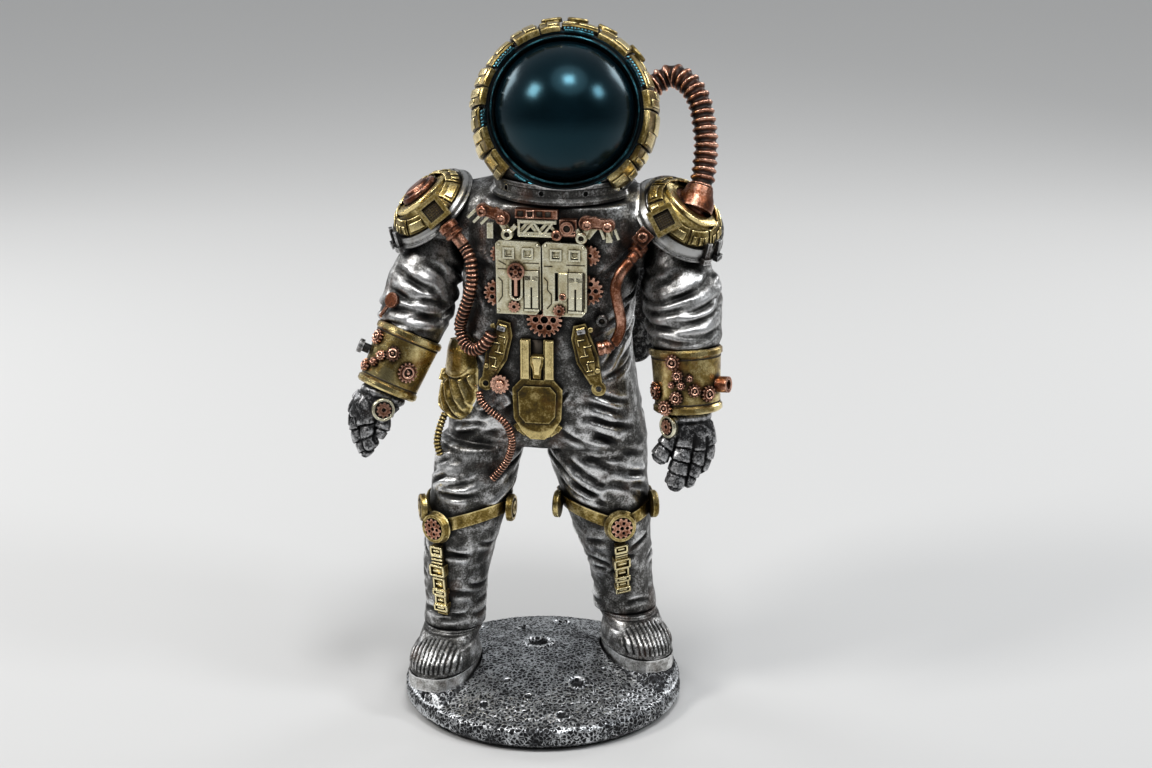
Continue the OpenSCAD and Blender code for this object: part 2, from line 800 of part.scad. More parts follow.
module visor_ring() {
    color(TEAL)
        at_visor()
            rotate_extrude($fn = 96)
                polygon([[29.3, visor_seat], [32.45, visor_seat], [32.45, 16.4], [31.9, 17.8], [30.6, 18.2],
                         [29.3, 17.2]]);
}

module visor() {
    color(TEAL)
        at_visor()
            difference() {
                translate([0, 0, visor_mid]) sphere(visor_r, $fn = 96);
                translate([0, 0, visor_seat - 50]) cylinder(r = 50, h = 50);
            }
}

module air_hose() {
    color(COPPER) tube(AIR_HOSE, 5.1, 3);
}

// Copper sockets at both ends of the air hose, trimmed where the hose stands on them
module air_hose_sockets() {
    path = smooth(AIR_HOSE, 3);
    last = len(path) - 1;
    color(COPPER)
        difference() {
            union() {
                aim(inlet_start, AIR_HOSE[0])
                    cylinder(r = inlet_r, h = norm(AIR_HOSE[0] - inlet_start) - 0.02);
                upper_body() at_disc(1) translate([0, 0, disc_floor]) cylinder(r1 = 8, r2 = 5.6, h = 2.6);
            }
            aim(path[0], path[1]) translate([0, 0, -0.02]) cylinder(r = 12, h = 8);
            aim(path[last], path[last - 1]) translate([0, 0, -0.02]) cylinder(r = 12, h = 8);
        }
}

// Shoulders

// Domed shell with a ring disc on top
module pauldron(hand) {
    color(GOLD)
        upper_body() {
            intersection() {
                at_pauldron(hand) ball_band(shell_in, shell_out, 0, shell_edge);
                at_disc(hand) translate([0, 0, shell_lid - far]) cylinder(r = far, h = far);
            }
            at_disc(hand)
                difference() {
                    cylinder(r = disc_r, h = disc_t);
                    translate([0, 0, disc_floor]) cylinder(r = disc_r - disc_wall, h = disc_t);
                }
        }
}

module pauldron_right() {
    pauldron(-1);
}

module pauldron_left() {
    pauldron(1);
}

module pauldron_flanges() {
    color(SILVER)
        upper_body()
            for (hand = [-1, 1])
                difference() {
                    at_pauldron(hand) ball_band(shell_in, flange_out, shell_edge, flange_edge(hand));
                    at_disc(hand) translate([0, 0, -1]) cylinder(r = disc_r + 0.05, h = disc_t + 6);
                }
}

module pauldron_caps() {
    color(COPPER)
        upper_body() at_disc(-1) translate([0, 0, disc_floor]) {
            cylinder(r = 7.6, h = 2.8);
            cylinder(r = 5, h = 3.8);
        }
}

// Square buckle frames in front of the shoulders: side, spin in its own plane
module shoulder_buckle(hand, spin) {
    at_shoulder(hand) rotate([buckle_lean, 0, 0]) translate([0, 0, flange_out + 0.1]) rotate([0, 0, spin])
        difference() {
            translate([-buckle_side / 2, -buckle_side / 2, 0]) cube([buckle_side, buckle_side, 2.4]);
            translate([-buckle_window / 2, -buckle_window / 2, 1]) cube([buckle_window, buckle_window, 3]);
        }
}

module shoulder_buckles() {
    color(GOLD)
        upper_body() {
            shoulder_buckle(-1, 42);
            shoulder_buckle(1, 30);
        }
}

module shoulder_pins() {
    color(STEEL)
        upper_body()
            for (hand = [-1, 1])
                at_shoulder(hand) translate([hand * 8, 0, 0]) rotate([0, -hand * 90, 0])
                    cylinder(r = pin_r, h = 38);
}

// Backpack

module backpack() {
    color(DARK)
        upper_body()
            difference() {
                hull()
                    for (x = [-26, 30], z = [156, 214])
                        translate([x, 26, z]) rotate([-90, 0, 0]) cylinder(r = 8, h = 26, $fn = 32);
                level_skin(torso_rings(), 2.7, 32, 0.02);
                translate([-60, 0, 224]) cube([120, 80, 10]);
            }
}

module backpack_trim() {
    color(GOLD)
        upper_body() {
            translate([-24, 52, 160]) cube([52, 1.6, 4]);
            translate([-24, 52, 206]) cube([52, 1.6, 4]);
            for (x = [-14, 18])
                translate([x, 52, 184]) rotate([-90, 0, 0])
                    difference() {
                        cylinder(r = 9, h = 2.4);
                        translate([0, 0, 1.2]) cylinder(r = 6.4, h = 2);
                    }
        }
}

// Arms

module sleeve(rings, hand) {
    n = len(rings);
    route = [for (r = rings) r[0]];
    color(SILVER)
        difference() {
            union() {
                upper_body() at_shoulder(hand) sphere(ball_r);
                skin([for (i = [0 : n - 1])
                    each section(route[i], i == n - 1 ? cuff_way(hand) : heading(route, i),
                                 rings[i][1], rings[i][1], 2, SKIN_N)], SKIN_N);
            }
            upper_body() at_shoulder(hand) translate([hand * 9, 0, 0]) rotate([0, -hand * 90, 0])
                cylinder(r = pin_r + run_gap, h = 40);
        }
}

function cuff_way(hand) =
    hand > 0 ? unit(left_cuff_end - left_cuff_top) : unit(right_cuff_end - right_cuff_top);

module sleeve_right() {
    sleeve(RIGHT_SLEEVE, -1);
}

module sleeve_left() {
    sleeve(LEFT_SLEEVE, 1);
}

// Beaded cuff with a bore for the glove's peg, mouth at its far end
module cuff(r0, r1) {
    difference() {
        rotate_extrude($fn = 64)
            polygon([[0, 0], [r0 - 0.8, 0], [r0, 0.8], [r0, 2.6], [r0 - 0.8, 3.4],
                     [r1 + 0.1, cuff_len - 3.4], [r1 + 0.9, cuff_len - 2.6], [r1 + 0.9, cuff_len - 0.8],
                     [r1, cuff_len], [0, cuff_len]]);
        translate([0, 0, cuff_len - 2]) cylinder(r = 10.4, h = 4);
        translate([0, 0, cuff_len - 10]) cylinder(r = peg_r + run_gap, h = 12);
    }
}

module cuff_right() {
    color(GOLD) aim(right_cuff_top, right_cuff_end) cuff(14.6, 12.4);
}

module cuff_left() {
    color(GOLD) aim(left_cuff_top, left_cuff_end) cuff(15.4, 13.6);
}

// Gear on a cuff: along the cuff, turn round it, radius of the seat, gear radius
module on_cuff(z, turn, r) {
    rotate([0, 0, turn]) translate([0, r, z]) rotate([-90, 0, 0]) children();
}

module arm_gears_right() {
    color(COPPER) {
        aim(right_cuff_top, right_cuff_end) {
            on_cuff(16, -20, 13.4) gear(4.3, 14, 1.2, 1.2);
            on_cuff(11, 16, 13.7) gear(3.2, 12, 1.2, 1);
            on_cuff(13.6, 36, 13.5) gear(2.2, 10, 1.2, 0.8);
            on_cuff(7, 60, 13.9) gear(3.2, 12, 1.2, 1);
            on_cuff(17.2, 46, 13.3) gear(1.9, 9, 1.2, 0.7);
            on_cuff(20, 66, 13.3) gear(2.6, 10, 1.2, 0.9);
        }
        aim([-62.2, -11.2, 185], [-62.75, -11.93, 185.41]) {
            cylinder(r = 3.3, h = 1.4);
            translate([2.4, -0.6, 0.2]) cube([6.4, 1.2, 1]);
        }
    }
}

module arm_gears_left() {
    color(COPPER)
        aim(left_cuff_top, left_cuff_end) {
            on_cuff(4.6, 23, 15.45) gear(3.3, 12, 1.2, 1.2);
            on_cuff(10.2, 17, 14.6) gear(2.4, 10, 1.2, 0.9);
            on_cuff(14.2, 28, 14.4) gear(1.5, 8, 1.2, 0.5);
            on_cuff(14.4, 12, 14.4) gear(1.8, 9, 1.2, 0.6);
            on_cuff(11.4, -2, 14.5) gear(1.6, 8, 1.2, 0.5);
            on_cuff(19.6, 21, 14.2) gear(2.8, 11, 1.2, 1);
            on_cuff(16.8, -9, 14.3) gear(2.7, 11, 1.2, 1);
            on_cuff(18.6, -34, 14.2) gear(3.4, 12, 1.2, 1.1);
            on_cuff(24, 41, 14.55) gear(3.2, 12, 1.2, 1.1);
            on_cuff(17.4, 66, 14.3) gear(3.8, 13, 1.2, 1.2);
        }
}

module cuff_knob() {
    color(SILVER)
        aim(right_cuff_top, right_cuff_end) on_cuff(13.5, 88, 13.3) {
            cylinder(r = 2, h = 3, $fn = 24);
            translate([0, 0, 3]) cylinder(r = 3, h = 2, $fn = 24);
        }
}

module cuff_port() {
    color(COPPER)
        aim(left_cuff_top, left_cuff_end) on_cuff(15.6, -62, 14.2)
            difference() {
                cylinder(r = 3.4, h = 5, $fn = 32);
                translate([0, 0, 3]) cylinder(r = 2, h = 3, $fn = 24);
            }
}

// Gloves, in the cuff end's frame: +Z down the hand, +Y to the front

module finger(route, r) {
    path = smooth(route, 2);
    n = 8;
    last = len(path) - 1;
    skin([for (i = [0 : last])
        let (r_i = r * (i == last ? 0.6 : 1))
            each section(path[i], heading(path, i), r_i, r_i, 2, n)], n);
}

// Stands children on the back of a hand: height below the cuff, turn round the wrist, distance
module on_hand(z, turn, r) {
    rotate([0, 0, turn]) translate([0, r, z]) rotate([-90, 0, 0]) children();
}

// Glove over a hand's rings and finger routes, with a boss that seats the medallion
module glove(rings, fingers, seat) {
    color(DARK)
        difference() {
            union() {
                translate([0, 0, -8]) cylinder(r = peg_r, h = 8);
                level_skin(rings, 2.4, 20);
                for (f = fingers) finger(f[1], f[0]);
                on_hand(seat[0], seat[1], seat[2] - 5) cylinder(r = 4.7, h = 5);
            }
            on_hand(seat[0], seat[1], seat[2]) cylinder(r = 4.7, h = 6);
        }
}

module glove_right() {
    rings = [[[0, 0, -1.2], 9.4, 9.4], [[-0.6, 0, 3.5], 9.4, 8.8], [[-2.4, 0.2, 9], 9.4, 7.6],
             [[-2.2, 0.4, 13.4], 8.2, 6.6], [[-0.8, 0.2, 17], 5.8, 4.6]];
    aim(right_cuff_end, 2 * right_cuff_end - right_cuff_top)
        glove(rings, RIGHT_FINGERS, right_seat);
}

module glove_left() {
    rings = [[[0, 0, -1.2], 9.4, 9.4], [[-0.4, 0, 3.5], 9.8, 8.8], [[0.2, 0.2, 9], 11, 8],
             [[0.6, 0.4, 14], 10.4, 7], [[0.8, 0, 18], 7.6, 4.8]];
    aim(left_cuff_end, 2 * left_cuff_end - left_cuff_top)
        glove(rings, LEFT_FINGERS, left_seat);
}

module medallion(seat) {
    on_hand(seat[0], seat[1], seat[2]) {
        cylinder(r = 4.2, h = 1.2);
        translate([0, 0, 1.2]) gear(3.2, 10, 0.8, 0.9);
    }
}

module medallion_right() {
    color(COPPER) aim(right_cuff_end, 2 * right_cuff_end - right_cuff_top) medallion(right_seat);
}

module medallion_left() {
    color(COPPER) aim(left_cuff_end, 2 * left_cuff_end - left_cuff_top) medallion(left_seat);
}

base();
base_pad();
soles();
boot_right();
boot_left();
leg_right();
leg_left();
knee_band_right();
knee_band_left();
knee_discs();
knee_gears();
shin_buckles();
torso();
crotch_plate();
crotch_clip();
hip_plates();
holster();
holster_hose();
thigh_hose();
chest_plate_right();
chest_plate_left();
chest_truss();
chest_bracket();
linkages();
chest_gears();
plate_gears();
valve_wheel();
chest_hose();
chest_pipe();
hose_fittings();
collar_ring();
helmet_shell();
helmet_panels();
ear_discs();
visor_ring();
visor();
air_hose();
air_hose_sockets();
pauldron_right();
pauldron_left();
pauldron_flanges();
pauldron_caps();
shoulder_buckles();
shoulder_pins();
backpack();
backpack_trim();
sleeve_right();
sleeve_left();
cuff_right();
cuff_left();
arm_gears_right();
arm_gears_left();
cuff_knob();
cuff_port();
glove_right();
glove_left();
medallion_right();
medallion_left();
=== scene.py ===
"""Steampunk astronaut figure: sculpted suit, ribbed hoses, armour relief and painted-metal materials."""
import json
from math import acos, atan2, copysign, cos, degrees, pi, radians, sin, sqrt, tau

import bpy
import numpy as np
from mathutils import Matrix, Vector
from mathutils.bvhtree import BVHTree


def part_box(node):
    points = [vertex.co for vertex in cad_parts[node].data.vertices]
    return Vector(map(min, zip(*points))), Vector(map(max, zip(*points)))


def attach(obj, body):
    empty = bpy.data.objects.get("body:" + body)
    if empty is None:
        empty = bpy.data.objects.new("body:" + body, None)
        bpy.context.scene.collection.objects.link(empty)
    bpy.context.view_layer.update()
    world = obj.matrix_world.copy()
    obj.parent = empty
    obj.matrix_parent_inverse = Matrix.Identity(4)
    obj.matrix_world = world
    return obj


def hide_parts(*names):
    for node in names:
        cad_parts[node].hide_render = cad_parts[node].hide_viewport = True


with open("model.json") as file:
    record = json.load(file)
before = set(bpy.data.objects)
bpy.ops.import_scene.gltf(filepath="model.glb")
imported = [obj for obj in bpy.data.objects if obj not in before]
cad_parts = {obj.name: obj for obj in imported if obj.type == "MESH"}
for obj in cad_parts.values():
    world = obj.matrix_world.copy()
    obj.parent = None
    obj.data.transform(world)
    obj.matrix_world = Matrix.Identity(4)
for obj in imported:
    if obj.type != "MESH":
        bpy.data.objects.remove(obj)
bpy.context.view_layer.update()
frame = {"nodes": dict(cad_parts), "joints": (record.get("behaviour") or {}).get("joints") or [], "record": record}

MM = 0.001
NODES = frame["nodes"]
SLOT_OF = {s["node"]: s["material_slot"] for s in frame["record"]["subparts"]}
JOINTS = {j["name"]: j for j in frame["joints"]}

# Sizes that the CAD source also holds, in millimetres
SEAT = 28.2  # depth of the flat chest seat
GEAR_LIFT = 2.2  # thickness of the gears behind the plates
PLATE_T = 2.4  # thickness of a chest plate
CUFF_LEN = 27
CLASP_X = -3.4  # centre line of the crotch plate on the chest seat
FOOT_TURN = {"right": -19, "left": 23}
SOLE_T = 6
# Gears on the cuffs: along the cuff, turn round it, seat radius, gear radius
CUFF_GEARS = {
    "right": [(16, -20, 13.4, 4.3), (11, 16, 13.7, 3.2), (13.6, 36, 13.5, 2.2), (7, 60, 13.9, 3.2),
              (17.2, 46, 13.3, 1.9), (20, 66, 13.3, 2.6)],
    "left": [(4.6, 23, 15.45, 3.3), (10.2, 17, 14.6, 2.4), (19.6, 21, 14.2, 2.8), (16.8, -9, 14.3, 2.7),
             (18.6, -34, 14.2, 3.4), (24, 41, 14.55, 3.2), (17.4, 66, 14.3, 3.8), (14.2, 28, 14.4, 1.5),
             (14.4, 12, 14.4, 1.8), (11.4, -2, 14.5, 1.6)],
}
CUFF_R = {"right": (14.6, 12.4), "left": (15.4, 13.6)}
# Medallion seats: height below the cuff, turn round the wrist, distance
HAND_SEAT = {"right": (7.6, -11, 8.6), "left": (5.6, 52, 10.4)}
# Fingers: radius, then the route from the knuckle to the tip
FINGERS = {
    "right": [(3.1, [(-6.6, -1, 6), (-7.4, -1.4, 13), (-3.6, -1.2, 19.6), (1.6, -0.6, 23.4),
                     (4.4, 0, 25.2)]),
              (3, [(-2.6, 2.4, 7), (-2.4, 3.2, 14), (1.6, 3.4, 19.6), (4.6, 2.6, 22.6)]),
              (2.8, [(-8.4, -2, 5), (-9, -2.6, 11), (-6.4, -3, 16.6), (-2.6, -3, 20.4)]),
              (2.7, [(2.2, 3.4, 7), (4.6, 5, 12.4), (5, 5.4, 17.8)])],
    "left": [(3.6, [(-5.6, 2.4, 7), (-9, 3.6, 12.4), (-12.2, 4, 16.6), (-13.8, 3.8, 19)]),
             (4.1, [(-2.6, 2.6, 11), (-3.8, 4.2, 18), (-6, 4.4, 25), (-7.2, 3.6, 29.6)]),
             (3.7, [(3, 1.6, 12), (2.6, 2.4, 18.6), (-0.6, 2, 24.6), (-3, 0.8, 28.2)]),
             (3.4, [(7.2, 0.4, 10), (7.4, 0.4, 15.4), (5.2, -0.6, 20.4), (2.4, -1.8, 24)])],
}
PAULDRON_TILT, PAULDRON_TURN = 47, 35  # degrees above the horizontal and towards the front
DISC_TILT, DISC_TURN, DISC_FOOT = 51, 12, 12.4
DISC_R, DISC_T = 13.4, 3.2
SHELL_R = 20.2
FLANGE_R = 22.4
FLANGE_EDGES = {"right": (60, 71), "left": (60, 75)}
VISOR_PITCH = 19
VISOR_R = 30
VISOR_MID = 6.5
VISOR_SEAT = 13.5
BASE_R = 61
HOSE_START = Vector((-3.2, -2.6, 4.4))  # the chest hose's ribbed skin starts nearer its buckle
BASE_TOP = 20.5
BASE_BALL = 169.8

# Hose routes in the upper body's frame, the air hose in the row's frame
AIR_HOSE = [
    (46, 14.5, 270.6), (51, 16.2, 273.6), (55.6, 16, 275.2), (60.4, 13, 273.4),
    (64.3, 9.5, 269.2), (66.9, 6, 262.9), (68.6, 0.5, 251.3), (68.2, -3, 243), (66.9, -7, 235),
    (64.3, -11.1, 227.5),
]
CHEST_HOSE = [
    (-37.4, -22, 213.2), (-34.4, -25.8, 210.6), (-31, -28.4, 204.6), (-31, -28.4, 194.6),
    (-34.6, -26.6, 183.4), (-37, -24, 175.5), (-34.6, -26.6, 169), (-29.6, -29.6, 167.4),
    (-24.6, -32.5, 171.6), (-22, -32.7, 176),
]
CHEST_PIPE = [
    (37.6, -22.2, 211.8), (35, -26.4, 207.8), (31, -29, 202.4), (29.2, -29.6, 196), (30.4, -28.8, 188),
    (31.4, -27.8, 180.4), (29.4, -28.2, 174), (26.4, -29.2, 171.4), (23.6, -30, 170.8),
]
THIGH_HOSE = [
    (-27.8, -31.2, 150), (-27, -31.6, 146), (-22.8, -31.6, 141.4), (-16.8, -31, 136.2),
    (-14.4, -29.6, 128.6), (-16.2, -27.6, 120.2), (-19.8, -27, 114.4), (-23.4, -27, 109.8),
]
HOLSTER_HOSE = [
    (-45.6, -17.4, 135), (-47.6, -19.6, 129), (-48.6, -20.6, 122.6), (-47.4, -20.6, 117),
]


# ---------------------------------------------------------------- frames

def columns(x, y, z, origin):
    """Matrix whose axes are x, y and z, in millimetres."""
    m = Matrix.Identity(4)
    for k, axis in enumerate((x, y, z)):
        m.col[k][:3] = axis
    m.col[3][:3] = origin
    return m


def aim(origin, direction):
    """Frame with +Z along direction. Pointing down, its +X is the viewer's right and +Y the front."""
    t = Vector(direction).normalized()
    side = t.cross(Vector((0, 1, 0))).normalized()
    return columns(side, t.cross(side), t, origin)


def upper_frame():
    left = -Vector(JOINTS["shoulder_left"]["axis"]).normalized()
    middle = (Vector(JOINTS["shoulder_left"]["pos_m"]) + Vector(JOINTS["shoulder_right"]["pos_m"])) / 2 / MM
    return columns(left, Vector((0, 0, 1)).cross(left), (0, 0, 1), (middle.x, middle.y, 0))


def turn(axis, angle):
    return Matrix.Rotation(radians(angle), 4, axis)


def shift(x, y, z):
    return Matrix.Translation((x, y, z))


UPPER = upper_frame()
SHOULDER = {side: Vector(JOINTS["shoulder_" + side]["pos_m"]) / MM for side in ("right", "left")}
WRIST = {side: Vector(JOINTS["wrist_" + side]["pos_m"]) / MM for side in ("right", "left")}
ARM_WAY = {side: Vector(JOINTS["wrist_" + side]["axis"]) for side in ("right", "left")}
HAND_SIGN = {"right": -1, "left": 1}


def shoulder_frame(side, swivel=0, tilt=90):
    """Origin at the shoulder's centre, +Z tilted out and swivelled to the front."""
    sign = HAND_SIGN[side]
    return (Matrix.Translation(SHOULDER[side]) @ UPPER.to_3x3().to_4x4() @ turn("Z", -sign * swivel)
            @ turn("Y", sign * (90 - tilt)))


def pauldron_frame(side):
    """Frame whose +Z runs out along the pauldron's axis."""
    return shoulder_frame(side, PAULDRON_TURN, PAULDRON_TILT)


def disc_frame(side):
    """Foot of a pauldron's ring disc, +Z out of it."""
    return shoulder_frame(side, DISC_TURN, DISC_TILT) @ shift(0, 0, DISC_FOOT)


def cuff_frame(side):
    return aim(WRIST[side] - ARM_WAY[side] * CUFF_LEN, ARM_WAY[side])


def hand_frame(side):
    return aim(WRIST[side], ARM_WAY[side])


def box_mm(node):
    """Lowest and highest corners of a CAD node, in millimetres."""
    return [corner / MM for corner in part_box(node)]


def into(matrix, points):
    """An array of points, given in the axes of a frame."""
    local = np.asarray(matrix.inverted())
    return points @ local[:3, :3].T + local[:3, 3]


def helmet_centre():
    low, high = box_mm("helmet_shell")
    radius = (high.x - low.x) / 2
    return Vector(((low.x + high.x) / 2, high.y - radius, high.z - radius)), radius


HELMET_C, HELMET_R = helmet_centre()
VISOR = Matrix.Translation(HELMET_C) @ turn("X", 90 - VISOR_PITCH)


def on_seat(x, z, lift=0.0):
    """Frame on the chest seat: +X to the figure's left, +Y up, +Z out of the chest."""
    return UPPER @ shift(x, -SEAT - lift, z) @ turn("X", 90)


def on_ball(frame_, azimuth, polar, radius):
    """Frame on a ball round frame_'s origin, +Z outwards and +X along the azimuth."""
    return frame_ @ turn("Z", azimuth) @ turn("Y", polar) @ shift(0, 0, radius) @ turn("Z", 90)


# ---------------------------------------------------------------- noise

def perlin(points, seed):
    """Gradient noise at points in lattice units, about -0.7 to 0.7."""
    rng = np.random.default_rng(seed)
    slopes = rng.normal(size=(256, 3))
    slopes /= np.linalg.norm(slopes, axis=1)[:, None]
    order = np.tile(rng.permutation(256), 3)
    cell = np.floor(points).astype(int)
    inside = points - cell
    fade = inside ** 3 * (inside * (inside * 6 - 15) + 10)
    total = np.zeros(len(points))
    for corner in range(8):
        step = np.array([corner & 1, corner >> 1 & 1, corner >> 2 & 1])
        c = (cell + step) & 255
        index = order[order[order[c[:, 0]] + c[:, 1]] + c[:, 2]]
        weight = np.prod(np.where(step == 1, fade, 1 - fade), axis=1)
        total += weight * np.einsum("ij,ij->i", slopes[index], inside - step)
    return total


def fractal(points, size, seed, octaves=3):
    """Sum of noise octaves whose largest features are about size across."""
    return sum(perlin(points / size * 2 ** k + 7.3 * k, seed + k) / 2 ** k for k in range(octaves))


def smoothstep(low, high, x):
    t = np.clip((x - low) / (high - low), 0, 1)
    return t * t * (3 - 2 * t)


def peak(x, middle, width, power=2):
    """Bell curve that is 1 at the middle; a higher power flattens its top."""
    return np.exp(-((x - middle) / width) ** power)


# ---------------------------------------------------------------- materials

def shader_kit(name):
    """A new material with its node tree and its shader."""
    material = bpy.data.materials.new(name)
    material.use_nodes = True
    tree = material.node_tree
    return material, tree, tree.nodes["Principled BSDF"]


def add_node(tree, kind, inputs=None, **settings):
    """A node with its settings; each input takes a number, a colour or another node's output."""
    node = tree.nodes.new(kind)
    for key, value in settings.items():
        setattr(node, key, value)
    for key, value in (inputs or {}).items():
        if isinstance(value, bpy.types.NodeSocket):
            tree.links.new(value, node.inputs[key])
        else:
            node.inputs[key].default_value = value
    return node


def math_node(tree, operation, a, b, clamp=False):
    return add_node(tree, "ShaderNodeMath", {0: a, 1: b}, operation=operation, use_clamp=clamp).outputs[0]


def swing(tree, value, middle, gain):
    """How far a value is from its middle, times a gain."""
    return math_node(tree, "MULTIPLY", math_node(tree, "SUBTRACT", value, middle), gain)


def noise_node(tree, coords, size_mm, detail=4.0, rough=0.6):
    """Noise value whose features are about size_mm across."""
    inputs = {"Vector": coords, "Scale": 1 / (size_mm * MM), "Detail": detail, "Roughness": rough}
    return add_node(tree, "ShaderNodeTexNoise", inputs).outputs["Fac"]


def map_node(tree, value, low, high, to_low=0.0, to_high=1.0):
    inputs = {"Value": value, "From Min": low, "From Max": high, "To Min": to_low, "To Max": to_high}
    return add_node(tree, "ShaderNodeMapRange", inputs).outputs["Result"]


def ramp_node(tree, value, stops):
    node = add_node(tree, "ShaderNodeValToRGB", {"Fac": value})
    ramp = node.color_ramp
    while len(ramp.elements) < len(stops):
        ramp.elements.new(0.5)
    for element, (place, colour) in zip(ramp.elements, stops):
        element.position = place
        element.color = (*colour, 1)
    return node.outputs["Color"]


def mix_colours(tree, factor, a, b):
    node = add_node(tree, "ShaderNodeMix", {"Factor": factor}, data_type="RGBA")
    for key, value in ((6, a), (7, b)):
        if isinstance(value, bpy.types.NodeSocket):
            tree.links.new(value, node.inputs[key])
        else:
            node.inputs[key].default_value = (*value, 1)
    return node.outputs[2]


def painted_metal(name, dark, mid, bright, stain, reach=3.0, level=0.46, speckle=0.35, rough=(0.6, 0.34),
                  cloud_mm=6.0, cloud_share=1.5, stain_share=0.4, edge_mm=0.8, cells_mm=0.0, net=0.8):
    """Metallic paint over a dark undercoat: black wash in the hollows, dry-brushed rises and edges."""
    material, tree, shader = shader_kit(name)
    coords = add_node(tree, "ShaderNodeTexCoord").outputs["Object"]
    broad = noise_node(tree, coords, cloud_mm, 6, 0.65)
    patch = noise_node(tree, coords, 13, 4, 0.55)
    grain = noise_node(tree, coords, 0.75, 4, 0.75)
    fine = noise_node(tree, coords, 0.25, 2, 0.6)
    rise = add_node(tree, "ShaderNodeAttribute", attribute_name="rise").outputs["Fac"]
    open_sky = add_node(tree, "ShaderNodeAmbientOcclusion", {"Distance": reach * MM},
                        samples=6).outputs["AO"]
    solid = add_node(tree, "ShaderNodeAmbientOcclusion", {"Distance": edge_mm * MM}, samples=4,
                     inside=True).outputs["AO"]
    hollow = swing(tree, open_sky, 0.9, 1.5)
    edge = math_node(tree, "MULTIPLY", math_node(tree, "SUBTRACT", 0.9, solid), 0.9)
    edge = math_node(tree, "MAXIMUM", edge, 0.0)
    cloud = swing(tree, broad, 0.5, cloud_share)
    specks = swing(tree, grain, 0.5, speckle * 2.4)
    tone = math_node(tree, "ADD", math_node(tree, "ADD", hollow, edge), level)
    tone = math_node(tree, "ADD", tone, math_node(tree, "MULTIPLY", rise, 0.42))
    tone = math_node(tree, "ADD", tone, math_node(tree, "ADD", cloud, specks), True)
    relief = math_node(tree, "ADD", grain, math_node(tree, "MULTIPLY", fine, 0.4))
    if cells_mm:
        bend = add_node(tree, "ShaderNodeTexNoise",
                        {"Vector": coords, "Scale": 0.9 / (cells_mm * MM), "Detail": 2})
        bent = add_node(tree, "ShaderNodeVectorMath",
                        {0: bend.outputs["Color"], 1: (1.3 * cells_mm * MM,) * 3, 2: coords},
                        operation="MULTIPLY_ADD").outputs[0]
        cell = add_node(tree, "ShaderNodeTexVoronoi", {"Vector": bent, "Scale": 1 / (cells_mm * MM)},
                        feature="DISTANCE_TO_EDGE").outputs["Distance"]
        ridge = map_node(tree, cell, 0.05, 0.24, 1, 0)
        tone = math_node(tree, "ADD", tone, swing(tree, ridge, 0.55, net), True)
        relief = math_node(tree, "ADD", relief, math_node(tree, "MULTIPLY", ridge, 1.6))
    deep = [0.6 * d + 0.25 * m for d, m in zip(dark, mid)]
    colour = ramp_node(tree, tone, [(0.0, dark), (0.26, deep), (0.52, mid), (0.95, bright)])
    colour = mix_colours(tree, map_node(tree, patch, 0.56, 0.72, 0, stain_share), colour, stain)
    tree.links.new(colour, shader.inputs["Base Color"])
    tree.links.new(map_node(tree, tone, 0.1, 0.5, 0.6, 1.0), shader.inputs["Metallic"])
    sheen = swing(tree, grain, 0.5, 0.3)
    gloss = map_node(tree, tone, 0.1, 0.9, rough[0], rough[1])
    tree.links.new(math_node(tree, "ADD", gloss, sheen, True), shader.inputs["Roughness"])
    bump = add_node(tree, "ShaderNodeBump", {"Height": relief, "Strength": 0.4, "Distance": 0.16 * MM})
    tree.links.new(bump.outputs["Normal"], shader.inputs["Normal"])
    return material


def visor_paint():
    """Near-black teal pearl: a satin coat with fine flake."""
    material, tree, shader = shader_kit("visor_teal")
    coords = add_node(tree, "ShaderNodeTexCoord").outputs["Object"]
    cloud = noise_node(tree, coords, 20, 3)
    flake = noise_node(tree, coords, 0.35, 2, 0.7)
    cloud_part, flake_part = (math_node(tree, "MULTIPLY", a, b) for a, b in ((cloud, 0.7), (flake, 0.3)))
    tone = math_node(tree, "ADD", cloud_part, flake_part)
    colour = ramp_node(tree, tone, [(0.3, (0.0005, 0.002, 0.003)), (0.7, (0.002, 0.008, 0.012))])
    tree.links.new(colour, shader.inputs["Base Color"])
    shader.inputs["Metallic"].default_value = 0.1
    shader.inputs["Specular IOR Level"].default_value = 0.5
    shader.inputs["Specular Tint"].default_value = (0.3, 0.78, 1, 1)
    tree.links.new(map_node(tree, flake, 0.2, 0.8, 0.17, 0.26), shader.inputs["Roughness"])
    bump = add_node(tree, "ShaderNodeBump", {"Height": flake, "Strength": 0.12, "Distance": 0.05 * MM})
    tree.links.new(bump.outputs["Normal"], shader.inputs["Normal"])
    return material


def felt():
    """Matt black felt."""
    material, tree, shader = shader_kit("felt_pad")
    coords = add_node(tree, "ShaderNodeTexCoord").outputs["Object"]
    fibre = noise_node(tree, coords, 0.5, 6, 0.8)
    colour = ramp_node(tree, fibre, [(0.3, (0.008, 0.008, 0.009)), (0.7, (0.03, 0.03, 0.032))])
    tree.links.new(colour, shader.inputs["Base Color"])
    shader.inputs["Roughness"].default_value = 0.95
    bump = add_node(tree, "ShaderNodeBump", {"Height": fibre, "Strength": 0.6, "Distance": 0.2 * MM})
    tree.links.new(bump.outputs["Normal"], shader.inputs["Normal"])
    return material


